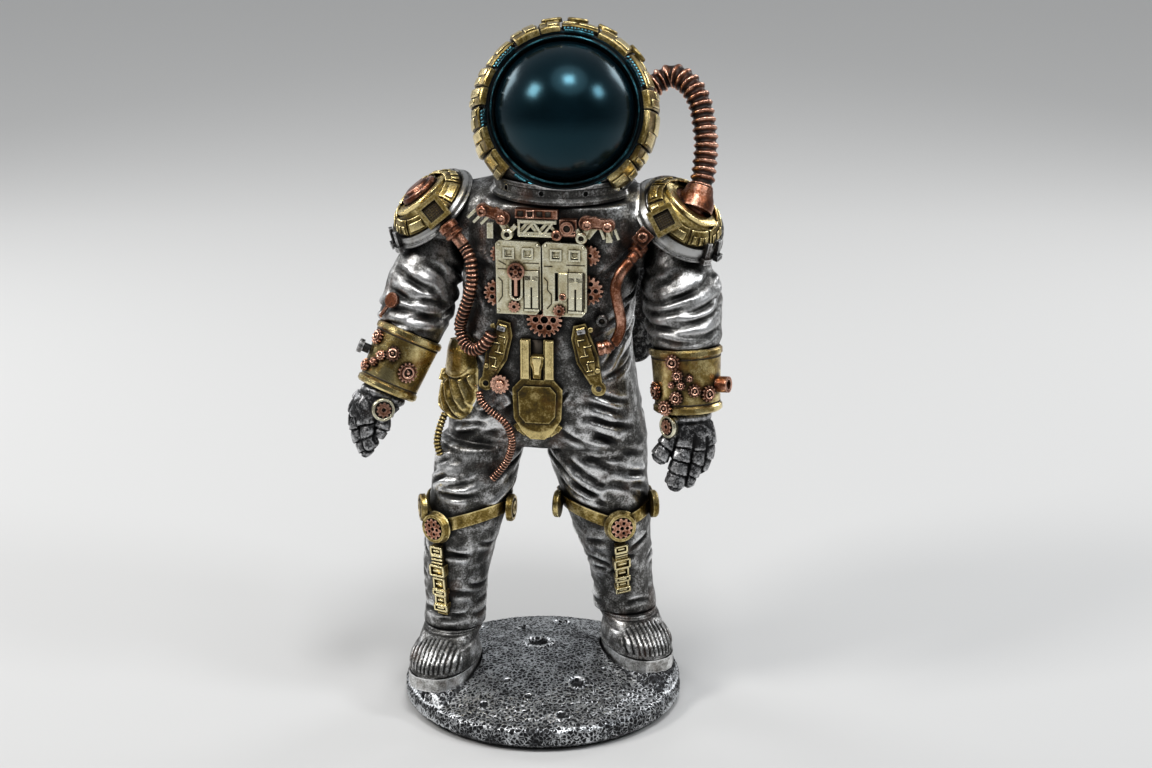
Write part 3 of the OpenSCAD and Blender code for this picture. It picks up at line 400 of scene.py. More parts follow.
SILVER = painted_metal("antique_silver", (0.006, 0.006, 0.006), (0.105, 0.102, 0.096), (0.82, 0.82, 0.82),
                       (0.16, 0.08, 0.05), reach=5, level=0.37, stain_share=0.25, rough=(0.55, 0.28))
# A lighter copy of the suit's silver: painted light on the sleeves
SLEEVE_LIT_SILVER = painted_metal("sleeve_painted_light_silver", (0.008, 0.008, 0.008), (0.15, 0.147, 0.14),
                              (0.74, 0.74, 0.74), (0.2, 0.1, 0.06), reach=5, level=0.46,
                              stain_share=0.25, rough=(0.54, 0.38))
# A lighter copy of the suit's silver: painted light on the soles, which sit in shade
SOLE_LIT_SILVER = painted_metal("sole_painted_light_silver", (0.01, 0.01, 0.01), (0.3, 0.295, 0.28), (0.9, 0.9, 0.9),
                            (0.2, 0.12, 0.08), reach=2, level=0.55, speckle=0.3, rough=(0.5, 0.3))
# A darker copy of the silver with heavier stains: painted shade on the pauldron flanges and their lips
SHADED_SILVER = painted_metal("stained_shaded_silver", (0.006, 0.006, 0.006), (0.06, 0.058, 0.052), (0.5, 0.5, 0.49),
                            (0.12, 0.09, 0.03), reach=3, level=0.2, speckle=0.5, cloud_mm=4,
                            cloud_share=2.2, stain_share=0.6)
GOLD = painted_metal("antique_gold", (0.012, 0.007, 0.002), (0.24, 0.165, 0.04), (1, 0.82, 0.4),
                     (0.14, 0.07, 0.018), reach=2.4, level=0.4, speckle=0.26, rough=(0.48, 0.24))
BRIGHT_GOLD = painted_metal("bright_gold", (0.02, 0.012, 0.004), (0.42, 0.3, 0.09), (1, 0.88, 0.52),
                            (0.3, 0.16, 0.04), reach=1.2, level=0.56, speckle=0.24, rough=(0.42, 0.24))
BRONZE = painted_metal("dark_bronze", (0.012, 0.008, 0.002), (0.15, 0.1, 0.025), (0.85, 0.68, 0.3),
                       (0.13, 0.055, 0.01), reach=2.4, level=0.3, speckle=0.2, rough=(0.5, 0.28),
                       stain_share=0.6)
PATINA = painted_metal("patinated_gold", (0.012, 0.006, 0.002), (0.34, 0.235, 0.07), (1, 0.84, 0.42),
                       (0.24, 0.085, 0.015), reach=2.4, level=0.46, speckle=0.16, rough=(0.42, 0.18),
                       cloud_mm=9, cloud_share=2.2, stain_share=0.75)
PALE_GOLD = painted_metal("champagne_gold", (0.03, 0.022, 0.01), (0.64, 0.56, 0.33), (1, 0.96, 0.74),
                          (0.42, 0.3, 0.1), reach=1.6, level=0.64, speckle=0.28, rough=(0.45, 0.26))
COPPER = painted_metal("rose_copper", (0.006, 0.003, 0.002), (0.2, 0.066, 0.03), (0.95, 0.55, 0.4),
                       (0.09, 0.024, 0.01), reach=1.6, level=0.36, speckle=0.24, rough=(0.46, 0.22))
PEWTER = painted_metal("dark_pewter", (0.004, 0.004, 0.005), (0.05, 0.05, 0.052), (0.7, 0.7, 0.71),
                       (0.06, 0.045, 0.035), reach=2, level=0.35, cloud_mm=3)
ROCK = painted_metal("moon_rock", (0.003, 0.003, 0.004), (0.05, 0.052, 0.056), (0.7, 0.72, 0.74),
                     (0.05, 0.05, 0.052), reach=1.6, level=0.34, speckle=0.3, rough=(0.6, 0.3), cloud_mm=11,
                     cells_mm=1.9, net=0.75)
STEEL = painted_metal("dowel_steel", (0.1, 0.1, 0.1), (0.4, 0.4, 0.41), (0.7, 0.7, 0.72),
                      (0.3, 0.3, 0.3), reach=1, speckle=0.1, rough=(0.4, 0.3))
TEAL = visor_paint()
TEAL_TRIM = painted_metal("teal_trim", (0.001, 0.003, 0.004), (0.004, 0.022, 0.03), (0.12, 0.42, 0.52),
                          (0.006, 0.03, 0.04), reach=2.5, level=0.3, speckle=0.15, rough=(0.4, 0.25))
FELT = felt()
# Near-black paint for sheets, lines and discs that stand for shade: painted shade in slots, grooves, wells, gaps
# and openings
SHADE_BLACK = painted_metal("painted_shade_black", (0.003, 0.003, 0.003), (0.008, 0.007, 0.006), (0.06, 0.05, 0.04),
                    (0.01, 0.006, 0.004), reach=1, level=0.3, rough=(0.8, 0.6))
SLOT_MATERIAL = {
    "silver_suit": SILVER, "gold_armour": GOLD, "copper_work": COPPER, "teal_visor": TEAL,
    "dark_glove": PEWTER, "dark_panel": PEWTER, "moon_rock": ROCK, "felt": FELT, "pin_steel": STEEL,
}


# ---------------------------------------------------------------- meshes

def new_object(name, verts, faces, material, smooth=True):
    """Mesh object from points in millimetres."""
    mesh = bpy.data.meshes.new(name)
    mesh.from_pydata((np.asarray(verts, float) * MM).tolist(), [], [list(f) for f in faces])
    mesh.validate()
    ob = bpy.data.objects.new(name, mesh)
    bpy.context.scene.collection.objects.link(ob)
    mesh.materials.append(material)
    mesh.polygons.foreach_set("use_smooth", [smooth] * len(mesh.polygons))
    mesh.update()
    return ob


def soften(ob, width, angle=35, segments=2):
    """Rounded edges that keep flat faces flat."""
    bevel = ob.modifiers.new("edge", "BEVEL")
    bevel.width = width * MM
    bevel.segments = segments
    bevel.limit_method = "ANGLE"
    bevel.angle_limit = radians(angle)
    bevel.use_clamp_overlap = True
    ob.data.polygons.foreach_set("use_smooth", [True] * len(ob.data.polygons))
    normals = ob.modifiers.new("normals", "WEIGHTED_NORMAL")
    normals.keep_sharp = True
    return ob


TIP = 0.04  # radius of a turned profile where it meets its axis


class Solid:
    """Collects small closed shapes, in millimetres, into one mesh."""

    def __init__(self):
        self.verts, self.faces = [], []

    def add(self, points, faces, at):
        start = len(self.verts)
        self.verts += [at @ Vector(p) for p in points]
        self.faces += [[start + i for i in f] for f in faces]

    def rings(self, rings, at, closed=False):
        """Skin over rings of equally many points; closed joins the last ring to the first."""
        n, rows = len(rings[0]), len(rings)
        faces = [[k * n + i, k * n + (i + 1) % n, (k + 1) % rows * n + (i + 1) % n, (k + 1) % rows * n + i]
                 for k in range(rows if closed else rows - 1) for i in range(n)]
        if not closed:
            faces += [list(range(n))[::-1], [(rows - 1) * n + i for i in range(n)]]
        self.add([p for ring in rings for p in ring], faces, at)

    def box(self, size, at):
        x, y, z = size[0] / 2, size[1] / 2, size[2]
        ring = [(-x, -y), (x, -y), (x, y), (-x, y)]
        self.rings([[(*p, 0) for p in ring], [(*p, z) for p in ring]], at)

    def plate(self, outline, thick, at, taper=0.0):
        """Flat plate over an outline, its top drawn in by taper."""
        centre = np.mean(np.array(outline, float), axis=0)
        top = [tuple(np.array(p) - (np.array(p) - centre) * taper) for p in outline]
        self.rings([[(*p, 0) for p in outline], [(*p, thick) for p in top]], at)

    def lathe(self, profile, at, n=32):
        """Solid of revolution about +Z over (radius, height) points, closed on itself."""
        rings = [[(r * cos(a), r * sin(a), z) for a in np.linspace(0, tau, n, False)]
                 for r, z in profile]
        self.rings(rings, at, closed=min(r for r, z in profile) > 0.05)

    def knob(self, radius, height, at, n=20):
        """Low round button with a rounded edge."""
        edge = min(radius, height) * 0.35
        self.lathe([(radius, 0), (radius, height - edge), (radius - edge * 0.3, height - edge * 0.3),
                    (radius - edge, height), (TIP, height)], at, n)

    def gear(self, radius, teeth, thick, at, bore=0.28, spokes=0):
        """Toothed ring; with spokes it also has a hub."""
        root = radius * 0.8
        rim = radius * (0.62 if spokes else bore)
        outline = []
        for k in range(teeth):
            for r, part in ((root, -0.32), (radius, -0.17), (radius, 0.17), (root, 0.32)):
                a = tau * (k + part) / teeth
                outline.append((r * cos(a), r * sin(a)))
        n = len(outline)
        inner = [tuple(Vector(p).normalized() * rim) for p in outline]
        rings = [[(*p, 0) for p in outline], [(*p, thick) for p in outline],
                 [(*p, thick) for p in inner], [(*p, 0) for p in inner]]
        self.rings(rings, at, closed=True)
        if spokes:
            self.knob(radius * bore, thick * 1.25, at)
            for k in range(spokes):
                reach = at @ turn("Z", 360 * k / spokes)
                self.box((radius * 0.7, radius * 0.15, thick * 0.8), reach @ shift(radius * 0.4, 0, 0))

    def tube(self, path, radius, n=16):
        """Tube along a path; radius is a number or one number for each point."""
        path = np.asarray(path, float)
        radius = np.broadcast_to(radius, len(path))
        way = np.gradient(path, axis=0)
        way /= np.linalg.norm(way, axis=1)[:, None]
        side = np.cross(way, (0, 1, 0))
        side /= np.linalg.norm(side, axis=1)[:, None]
        front = np.cross(way, side)
        angles = np.linspace(0, tau, n, False)
        rings = [[c + r * (cos(a) * s + sin(a) * f) for a in angles]
                 for c, r, s, f in zip(path, radius, side, front)]
        self.rings(rings, Matrix.Identity(4))

    def build(self, name, material, stands_for=(), edge=0.0, body="statue"):
        ob = new_object(name, [tuple(v) for v in self.verts], self.faces, material)
        if edge:
            soften(ob, edge)
        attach(ob, body)
        if stands_for:
            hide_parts(*stands_for)
        return ob


def spline(route, step):
    """Points about step apart on the smooth curve through a route."""
    route = np.asarray(route, float)
    points = []
    for i in range(len(route) - 1):
        a, b, c, d = route[max(i - 1, 0)], route[i], route[i + 1], route[min(i + 2, len(route) - 1)]
        for u in np.linspace(0, 1, 24, False):
            points.append(0.5 * (2 * b + (c - a) * u + (2 * a - 5 * b + 4 * c - d) * u * u
                                 + (3 * b - a - 3 * c + d) * u ** 3))
    points = np.array(points + [route[-1]])
    run = np.concatenate([[0], np.cumsum(np.linalg.norm(np.diff(points, axis=0), axis=1))])
    even = np.linspace(0, run[-1], int(run[-1] / step) + 1)
    return np.stack([np.interp(even, run, points[:, k]) for k in range(3)], axis=1), even


def moved(route, matrix):
    """The points of a route, carried by a frame."""
    return [tuple(matrix @ Vector(p)) for p in route]


def ribbed_hose(name, route, radius, pitch, depth, node, n=28, material=COPPER, sharp=1.5, plain=0.0):
    """Corrugated hose: raised ribs with dark valleys between them."""
    path, run = spline(route, pitch / 10)
    wave = (0.5 - 0.5 * np.cos(tau * run / pitch)) ** sharp
    wave = np.where(run < plain, 0.85, wave)
    hose = Solid()
    hose.tube(path, radius - depth * (1 - wave), n)
    ob = hose.build(name, material, [node])
    set_rise(ob, np.repeat(1.5 * wave - 0.9, n))
    return ob


# ---------------------------------------------------------------- sculpting

def remeshed(name, nodes, voxel, material, extra=None):
    """One even skin over the union of some CAD nodes, as an object and its points in millimetres."""
    verts, faces = [], []
    for node in nodes:
        mesh = NODES[node].data
        start = len(verts)
        verts += [tuple(v.co / MM) for v in mesh.vertices]
        faces += [[start + i for i in p.vertices] for p in mesh.polygons]
    if extra:
        faces += [[len(verts) + i for i in f] for f in extra.faces]
        verts += [tuple(v) for v in extra.verts]
    rough = new_object(name + "_rough", verts, faces, material)
    remesh = rough.modifiers.new("skin", "REMESH")
    remesh.mode = "VOXEL"
    remesh.voxel_size = voxel * MM
    remesh.use_smooth_shade = True
    mesh = bpy.data.meshes.new_from_object(rough.evaluated_get(bpy.context.evaluated_depsgraph_get()))
    bpy.data.objects.remove(rough)
    mesh.name = name
    mesh.materials.clear()
    mesh.materials.append(material)
    ob = bpy.data.objects.new(name, mesh)
    bpy.context.scene.collection.objects.link(ob)
    return ob, get_points(ob)


def get_points(ob):
    co = np.zeros(len(ob.data.vertices) * 3)
    ob.data.vertices.foreach_get("co", co)
    return co.reshape(-1, 3) / MM


def set_points(ob, points):
    ob.data.vertices.foreach_set("co", (points * MM).ravel())
    ob.data.update()


def set_rise(ob, rise):
    """How far each point stands out of the skin, -1 to 1, for the paint; round the soles on the base it also
    carries painted shade.
    """
    layer = ob.data.attributes.new("rise", "FLOAT", "POINT")
    layer.data.foreach_set("value", np.clip(rise, -1, 1).astype(np.float32))


def get_normals(ob):
    normals = np.zeros(len(ob.data.vertices) * 3)
    ob.data.vertex_normals.foreach_get("vector", normals)
    return normals.reshape(-1, 3)


def relax(ob, points, rounds, strength=0.5):
    """Laplacian smoothing; strength is a number or one for each point."""
    edges = np.zeros(len(ob.data.edges) * 2, int)
    ob.data.edges.foreach_get("vertices", edges)
    a, b = edges.reshape(-1, 2).T
    count = np.bincount(np.concatenate([a, b]), minlength=len(points))[:, None]
    strength = np.broadcast_to(strength, len(points))[:, None]
    for _ in range(rounds):
        total = np.stack([np.bincount(a, column[b], len(points)) + np.bincount(b, column[a], len(points))
                          for column in points.T], axis=1)
        points = points + strength * (total / np.maximum(count, 1) - points)
    return points


class Limb:
    """Round-the-limb coordinates about a line of points: angle from the front and height along the line."""

    def __init__(self, line, radius):
        self.line = np.asarray(line, float)
        self.radius = radius
        self.folds = []

    def place(self, points):
        line = self.line
        middle = np.stack([np.interp(points[:, 2], line[:, 2], line[:, k]) for k in range(2)], axis=1)
        out = points[:, :2] - middle
        return np.degrees(np.arctan2(out[:, 0], -out[:, 1])), points[:, 2]

    def fold(self, angle, height, tilt, length, width, depth, bend=0.0):
        self.folds.append((angle, height, tilt, length, width, depth, bend))

    def scatter(self, rng, count, angles, heights, tilt, length, width, depth):
        """Random folds; tilt is a function of the angle and the height."""
        for _ in range(count):
            angle, height = rng.uniform(*angles), rng.uniform(*heights)
            self.fold(angle, height, tilt(angle, height) + rng.normal(0, 9), rng.uniform(*length),
                      rng.uniform(*width), rng.uniform(*depth), rng.normal(0, 0.012))

    def relief(self, points):
        """Height of the folds: sharp valleys between soft pillows."""
        angle, height = self.place(points)
        total = np.zeros(len(points))
        for a0, z0, tilt, length, width, depth, bend in self.folds:
            s = ((angle - a0 + 180) % 360 - 180) * pi / 180 * self.radius
            v = height - z0
            near = np.flatnonzero((np.abs(s) < length) & (np.abs(v) < length))
            c, k = cos(radians(tilt)), sin(radians(tilt))
            along = s[near] * c + v[near] * k
            across = -s[near] * k + v[near] * c - bend * along ** 2
            fade = np.clip(1 - (along / (length / 2)) ** 2, 0, 1) ** 0.8
            cut = -peak(across, 0, width)
            pillow = 0.75 * peak(across, 2.1 * width, 1.5 * width)
            pillow += 0.55 * peak(across, -2.1 * width, 1.5 * width)
            total[near] += depth * fade * (cut + pillow)
        return total


# ---------------------------------------------------------------- suit

def leg_line(node):
    """Centres of a leg's level sections, read from its CAD mesh."""
    points = get_points(NODES[node])
    low, high = points[:, 2].min(), points[:, 2].max()
    line = []
    for z in np.linspace(low + 1, high - 1, 9):
        near = points[np.abs(points[:, 2] - z) < 9]
        line.append((*((near.max(0) + near.min(0)) / 2)[:2], z))
    return line


def suit():
    """Torso and legs as one creased skin."""
    yokes = Solid()
    for side, sign in (("right", -1), ("left", 1)):
        middle = SHOULDER[side] + Vector((-sign * 7.5, -1.5, 0.5))
        yokes.tube([tuple(middle), tuple(middle.lerp(Vector((9, 0, 220)), 0.25)), (9 + sign * 16, 0, 221)],
                   (16.4, 17.4, 17.4), 40)
    ob, points = remeshed("suit", ["torso", "leg_right", "leg_left"], 0.75, SILVER, yokes)
    hip = 1 - smoothstep(4, 14, np.abs(points[:, 2] - 123))
    points = relax(ob, points, 14, 0.15 + 0.4 * hip)
    chest = into(UPPER, points)
    rng = np.random.default_rng(11)
    limbs = []
    for node, sign in (("leg_right", -1), ("leg_left", 1)):
        leg = Limb(leg_line(node), 18)
        leg.scatter(rng, 15, (-75, 75), (92, 121), lambda a, z: -sign * 26 + a * 0.12,
                    (13, 24), (1.0, 1.5), (0.8, 1.3))
        leg.scatter(rng, 12, (95, 265), (76, 120), lambda a, z: (a - 180) * 0.2,
                    (14, 26), (1.1, 1.6), (0.8, 1.3))
        leg.scatter(rng, 10, (-95, 95), (44, 78), lambda a, z: sign * 8 + a * 0.16,
                    (11, 20), (0.9, 1.3), (0.7, 1.2))
        leg.scatter(rng, 9, (-180, 180), (37, 50), lambda a, z: 0, (16, 26), (0.8, 1.2), (0.7, 1.1))
        beside = points[:, 0] * sign
        crotch_z = 100
        near = (beside > (4 if sign < 0 else 2)) | (points[:, 2] < crotch_z) & (beside > 0)
        limbs.append((leg, near, 1 - smoothstep(116, 128, points[:, 2])))
    body = Limb([(-4, 0, 100), (-4, 0, 180), (0, 0, 230)], 33)
    for sign in (-1, 1):
        flank = (42, 88) if sign > 0 else (-88, -42)
        body.scatter(rng, 13, flank, (150, 206), lambda a, z: sign * 34, (14, 28), (1.1, 1.7), (0.8, 1.4))
        body.scatter(rng, 9, (sign * 20, sign * 60)[::sign], (127, 150), lambda a, z: -sign * 28, (12, 24),
                     (1.0, 1.6), (0.8, 1.4))
        body.fold(sign * 22, 148, sign * 52, 34, 0.7, 1.0)
    body.scatter(rng, 18, (110, 250), (128, 222), lambda a, z: (a - 180) * 0.25,
                 (16, 30), (1.1, 1.8), (0.8, 1.3))
    limbs.append((body, np.ones(len(points), bool), smoothstep(114, 128, points[:, 2])))
    lift = np.zeros(len(points))
    for limb, near, weight in limbs:
        where = chest if limb is body else points
        lift += np.where(near, limb.relief(where) * weight, 0)
    # Plates, straps and the collar lie on calm cloth
    seat = smoothstep(17, 24, np.abs(chest[:, 0] - 1)) + smoothstep(-24, -19, chest[:, 1])
    collar = 1 - smoothstep(214, 222, points[:, 2])
    knee = smoothstep(5, 9, np.abs(points[:, 2] - 87))
    calm = np.clip(np.where(points[:, 2] > 150, seat, 1), 0, 1) * collar * knee
    lift = np.clip(lift, -1.8, 1.5) * calm
    set_rise(ob, lift * 1.1)
    lift += 0.5 * fractal(points, 11, 5, 2) * collar + 0.1 * fractal(points, 2.2, 9, 2)
    points = points + get_normals(ob) * lift[:, None]
    set_points(ob, relax(ob, points, 1, 0.3))
    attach(ob, "statue")
    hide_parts("torso", "leg_right", "leg_left")


def sleeve(side):
    """Sleeve with folds that fan out from the inner elbow."""
    sign = HAND_SIGN[side]
    ob, points = remeshed("suit_sleeve_" + side, ["sleeve_" + side], 0.6, SLEEVE_LIT_SILVER)
    points = relax(ob, points, 6, 0.4)
    top = SHOULDER[side]
    end = WRIST[side] - ARM_WAY[side] * CUFF_LEN
    middle = (top + end) / 2 + Vector((sign * 2, 1.5, 0))
    arm = Limb([tuple(end - Vector((0, 0, 8))), tuple(end), tuple(middle), tuple(top)], 15.5)
    rng = np.random.default_rng(31 if sign > 0 else 32)
    for k, (height, tilt, angle) in enumerate(
            [(198, 27, -20), (194, 24, 22), (190.5, 24, -12), (187, 20, 30), (184.5, 14, -30),
             (181.5, 9, 12), (178.5, 5, -22), (175.5, 3, 24), (172.5, 1, -6)]):
        arm.fold(sign * angle, height, sign * tilt, 20 + 5 * (k % 3), 1.15, 1.15, sign * 0.012)
    arm.scatter(rng, 22, (60, 300), (171, 200), lambda a, z: sign * 12 * sin(radians(a)), (14, 26),
                (0.9, 1.4), (0.7, 1.2))
    lift = np.clip(arm.relief(points), -1.6, 1.2)
    lift *= smoothstep(0, 6, points[:, 2] - end.z + 1) * (1 - smoothstep(199, 205, points[:, 2]))
    set_rise(ob, lift * 0.6)
    lift += 0.35 * fractal(points, 11, 21, 2) + 0.09 * fractal(points, 2, 23, 2)
    # A soft roll of cloth stands over the cuff
    roll = peak(points[:, 2], end.z + 4, 3.2)
    out = points - np.array(end)
    out -= np.outer(out @ np.array(ARM_WAY[side]), ARM_WAY[side])
    out /= np.maximum(np.linalg.norm(out, axis=1), 1)[:, None]
    points = points + get_normals(ob) * lift[:, None] + out * (0.9 * roll)[:, None]
    set_points(ob, relax(ob, points, 1, 0.3))
    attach(ob, "arm_" + side)
    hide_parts("sleeve_" + side)


def boot(side):
    """Boot with a ribbed toe cap and a welt above the sole."""
    node = "boot_" + side
    ob, points = remeshed("ribbed_" + node, [node], 0.55, SILVER)
    points = relax(ob, points, 8, 0.45)
    low, high = box_mm(node)
    spin = radians(FOOT_TURN[side])
    middle = np.array([(low.x + high.x) / 2, (low.y + high.y) / 2])
    flat = points[:, :2] - middle
    across = flat[:, 0] * cos(spin) + flat[:, 1] * sin(spin)
    ahead = flat[:, 0] * sin(spin) - flat[:, 1] * cos(spin)
    height = points[:, 2] - low.z
    bulb = np.hypot(across / 12.4, (ahead - 16.5) / 8.2)
    band = smoothstep(1.6, 2.3, height) * (1 - smoothstep(11.4, 12.6, height))
    cap = (1 - smoothstep(0.94, 1.02, bulb)) * band
    ribs = -1.05 * np.abs(np.cos(pi * across / 1.9)) ** 12
    lift = cap * (0.55 + ribs) + 0.9 * peak(ahead, 14, 8) * smoothstep(2, 5, height) * (height < 14)
    lift += 0.8 * peak(height, 0.8, 0.8, 4)
    for z, depth in ((high.z - low.z - 1.2, 0.8), (high.z - low.z - 5.5, 0.5)):
        lift -= depth * peak(height + 0.04 * ahead, z, 0.6) * (1 - cap)
    set_rise(ob, cap * (0.2 + ribs * 1.6) + 0.1)
    lift += 0.22 * fractal(points, 7, 41, 2) * (1 - cap) + 0.07 * fractal(points, 1.6, 43, 2)
    set_points(ob, points + get_normals(ob) * lift[:, None])
    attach(ob, "statue")
    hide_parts(node)


def glove(side):
    """Glove with plated fingers and a strapped wrist."""
    node = "glove_" + side
    ob, points = remeshed("plated_" + node, [node], 0.42, PEWTER)
    points = relax(ob, points, 2, 0.4)
    own = into(hand_frame(side), points)
    near, ratio = np.full(len(own), 9.0), np.full(len(own), 9.0)
    run = np.zeros(len(own))
    for r, route in FINGERS[side]:
        path, along = spline(route, 0.4)
        gap = np.linalg.norm(own[:, None, :] - path[None, :, :], axis=2)
        best = gap.argmin(axis=1)
        share = gap.min(axis=1) / r
        closer = share < near
        ratio = np.where(closer, near, np.minimum(ratio, share))
        run = np.where(closer, along[best], run)
        near = np.where(closer, share, near)
    on_finger = 1 - smoothstep(1.25, 1.6, near)
    step = (run / 4.6 + 0.15) % 1
    plates = (0.75 * step - peak(np.minimum(step, 1 - step), 0, 0.07)) * on_finger
    crease = -0.9 * peak(ratio, near, 0.16) * (ratio < 1.9) * smoothstep(7, 12, own[:, 2])
    back = (1 - on_finger) * smoothstep(0.4, 1.2, own[:, 2])
    straps = 0.55 * (peak(own[:, 2], 2.4, 1.1, 4) - peak(own[:, 2], 4.5, 0.45))
    angle = np.arctan2(own[:, 1], own[:, 0])
    panels = 0.5 * np.sign(np.sin(4 * angle + 0.5 * own[:, 2])) * smoothstep(4.6, 5.4, own[:, 2])
    lift = plates + crease + (straps + panels * 0.5) * back + 0.14 * fractal(points, 2.2, 51, 3)
    set_rise(ob, plates * 0.9 + crease * 1.2 + (straps + panels * 0.4) * back)
    stretch = 0.15 * np.maximum(own[:, 2] - 8, 0)
    set_points(ob, points + get_normals(ob) * lift[:, None] + np.outer(stretch, ARM_WAY[side]))
    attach(ob, "hand_" + side)
    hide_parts(node)


def moon_base():
    """Cratered, hammered dome with a dark side band, cut from a fine polar grid."""
    turns, rows, bend_rows, hub = 620, 150, 13, 0.4
    dome_r, band_z, foot_r, foot_z = 55.5, 8, 58.6, 1.05
    arc = np.concatenate([np.linspace(hub, dome_r, rows), np.full(2 * bend_rows, dome_r)])
    top = BASE_TOP - BASE_BALL + np.sqrt(BASE_BALL ** 2 - arc ** 2)
    # A quarter round from the dome to the band, then the band itself and the underside
    edge = np.linspace(0, pi / 2, bend_rows + 1)[1:]
    arc[rows:rows + bend_rows] = dome_r + (BASE_R - dome_r) * np.sin(edge)
    top[rows:rows + bend_rows] = band_z + (top[rows - 1] - band_z) * np.cos(edge)
    arc[rows + bend_rows:] = BASE_R
    top[rows + bend_rows:] = np.linspace(7.6, 3.5, bend_rows)
    arc, top = np.append(arc, (foot_r, hub)), np.append(top, (foot_z, foot_z))
    angles = np.linspace(0, tau, turns, False)
    x = np.outer(arc, np.cos(angles)).ravel()
    y = np.outer(arc, np.sin(angles)).ravel()
    z = np.repeat(top, turns)
    points = np.stack([x, y, z], axis=1)
    radius = np.repeat(arc, turns)
    normal = np.stack([x / BASE_BALL, y / BASE_BALL, np.ones(len(x))], axis=1)
    side = smoothstep(55, 60, radius)[:, None]
    normal = normal * (1 - side) + np.stack([x, y, 6 + 0 * x], axis=1) / BASE_R * side
    normal /= np.linalg.norm(normal, axis=1)[:, None]
    bend = np.stack([fractal(points, 5, s, 2) for s in (61, 67, 71)], axis=1)
    worms = 1 - np.abs(fractal(points + 1.3 * bend, 2.7, 73, 2)) * 3.2
    pits = np.clip(fractal(points, 1.5, 79, 2), 0, 1)
    coarse = smoothstep(20, 58, radius)
    lift = (0.1 + 0.25 * coarse) * (1 - np.clip(worms, 0, 1)) - (0.4 - 0.15 * coarse) * pits
    rise = lift * 1.4 + 0.06 - 0.5 * smoothstep(56.5, 60, radius)
    lift += 0.5 * fractal(points, 16, 83, 2)
    craters = [((-2, 8), 5.5), ((15, -28.5), 3.6), ((-10, 30), 2.4), ((8, -51), 2.2), ((-15.5, -27), 1.8),
               ((-6, -39), 1.8), ((-25, -42), 2), ((27, -16), 1.6), ((8, 40), 4.2), ((-30, 38), 3.2)]
    for (cx, cy), r in craters:
        away = np.hypot(x - cx, y - cy) / r
        bowl = 1 - smoothstep(0.5, 0.95, away)
        lift += r * (-0.5 * bowl + 0.15 * peak(away, 1.12, 0.2))
        rise += 0.7 * peak(away, 1.1, 0.16) - 1.6 * bowl
    lift *= smoothstep(1.3, 3.2, z)
    points += normal * lift[:, None]
    # The ground rises to each sole and stays just under it
    for side, spin in FOOT_TURN.items():
        low, high = box_mm("boot_" + side)
        cx, cy, under = (low.x + high.x) / 2, (low.y + high.y) / 2, low.z - SOLE_T
        c, s = cos(radians(spin)), sin(radians(spin))
        across, ahead = (x - cx) * c + (y - cy) * s, (x - cx) * s - (y - cy) * c
        off = np.hypot(across / 14, ahead / 22.5)
        away = np.maximum(off - 1, 0) * 17
        mound = under + 0.9 - 0.5 * away - 0.05 * away ** 2 + 0.5 * fractal(points, 7, 87, 2) + 1.2 * lift
        near = (away < 14) & (radius < 59)
        # The raised ground round each sole is painted darker: painted shade
        rise -= 0.95 * (near & (mound > points[:, 2]))
        points[:, 2] = np.where(near, np.maximum(points[:, 2], mound), points[:, 2])
        under_sole = off < 0.93
        points[under_sole, 2] = under - 0.5
    n, count = turns, len(arc)
    faces = [[k * n + i, (k + 1) * n + i, (k + 1) * n + (i + 1) % n, k * n + (i + 1) % n]
             for k in range(count - 1) for i in range(n)]
    faces.append(list(range(n)))
    faces.append(list(range((count - 1) * n, count * n))[::-1])
    ob = new_object("cratered_ground", points, faces, ROCK)
    set_rise(ob, rise)
    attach(ob, "statue")
    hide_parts("base")


# ---------------------------------------------------------------- hoses

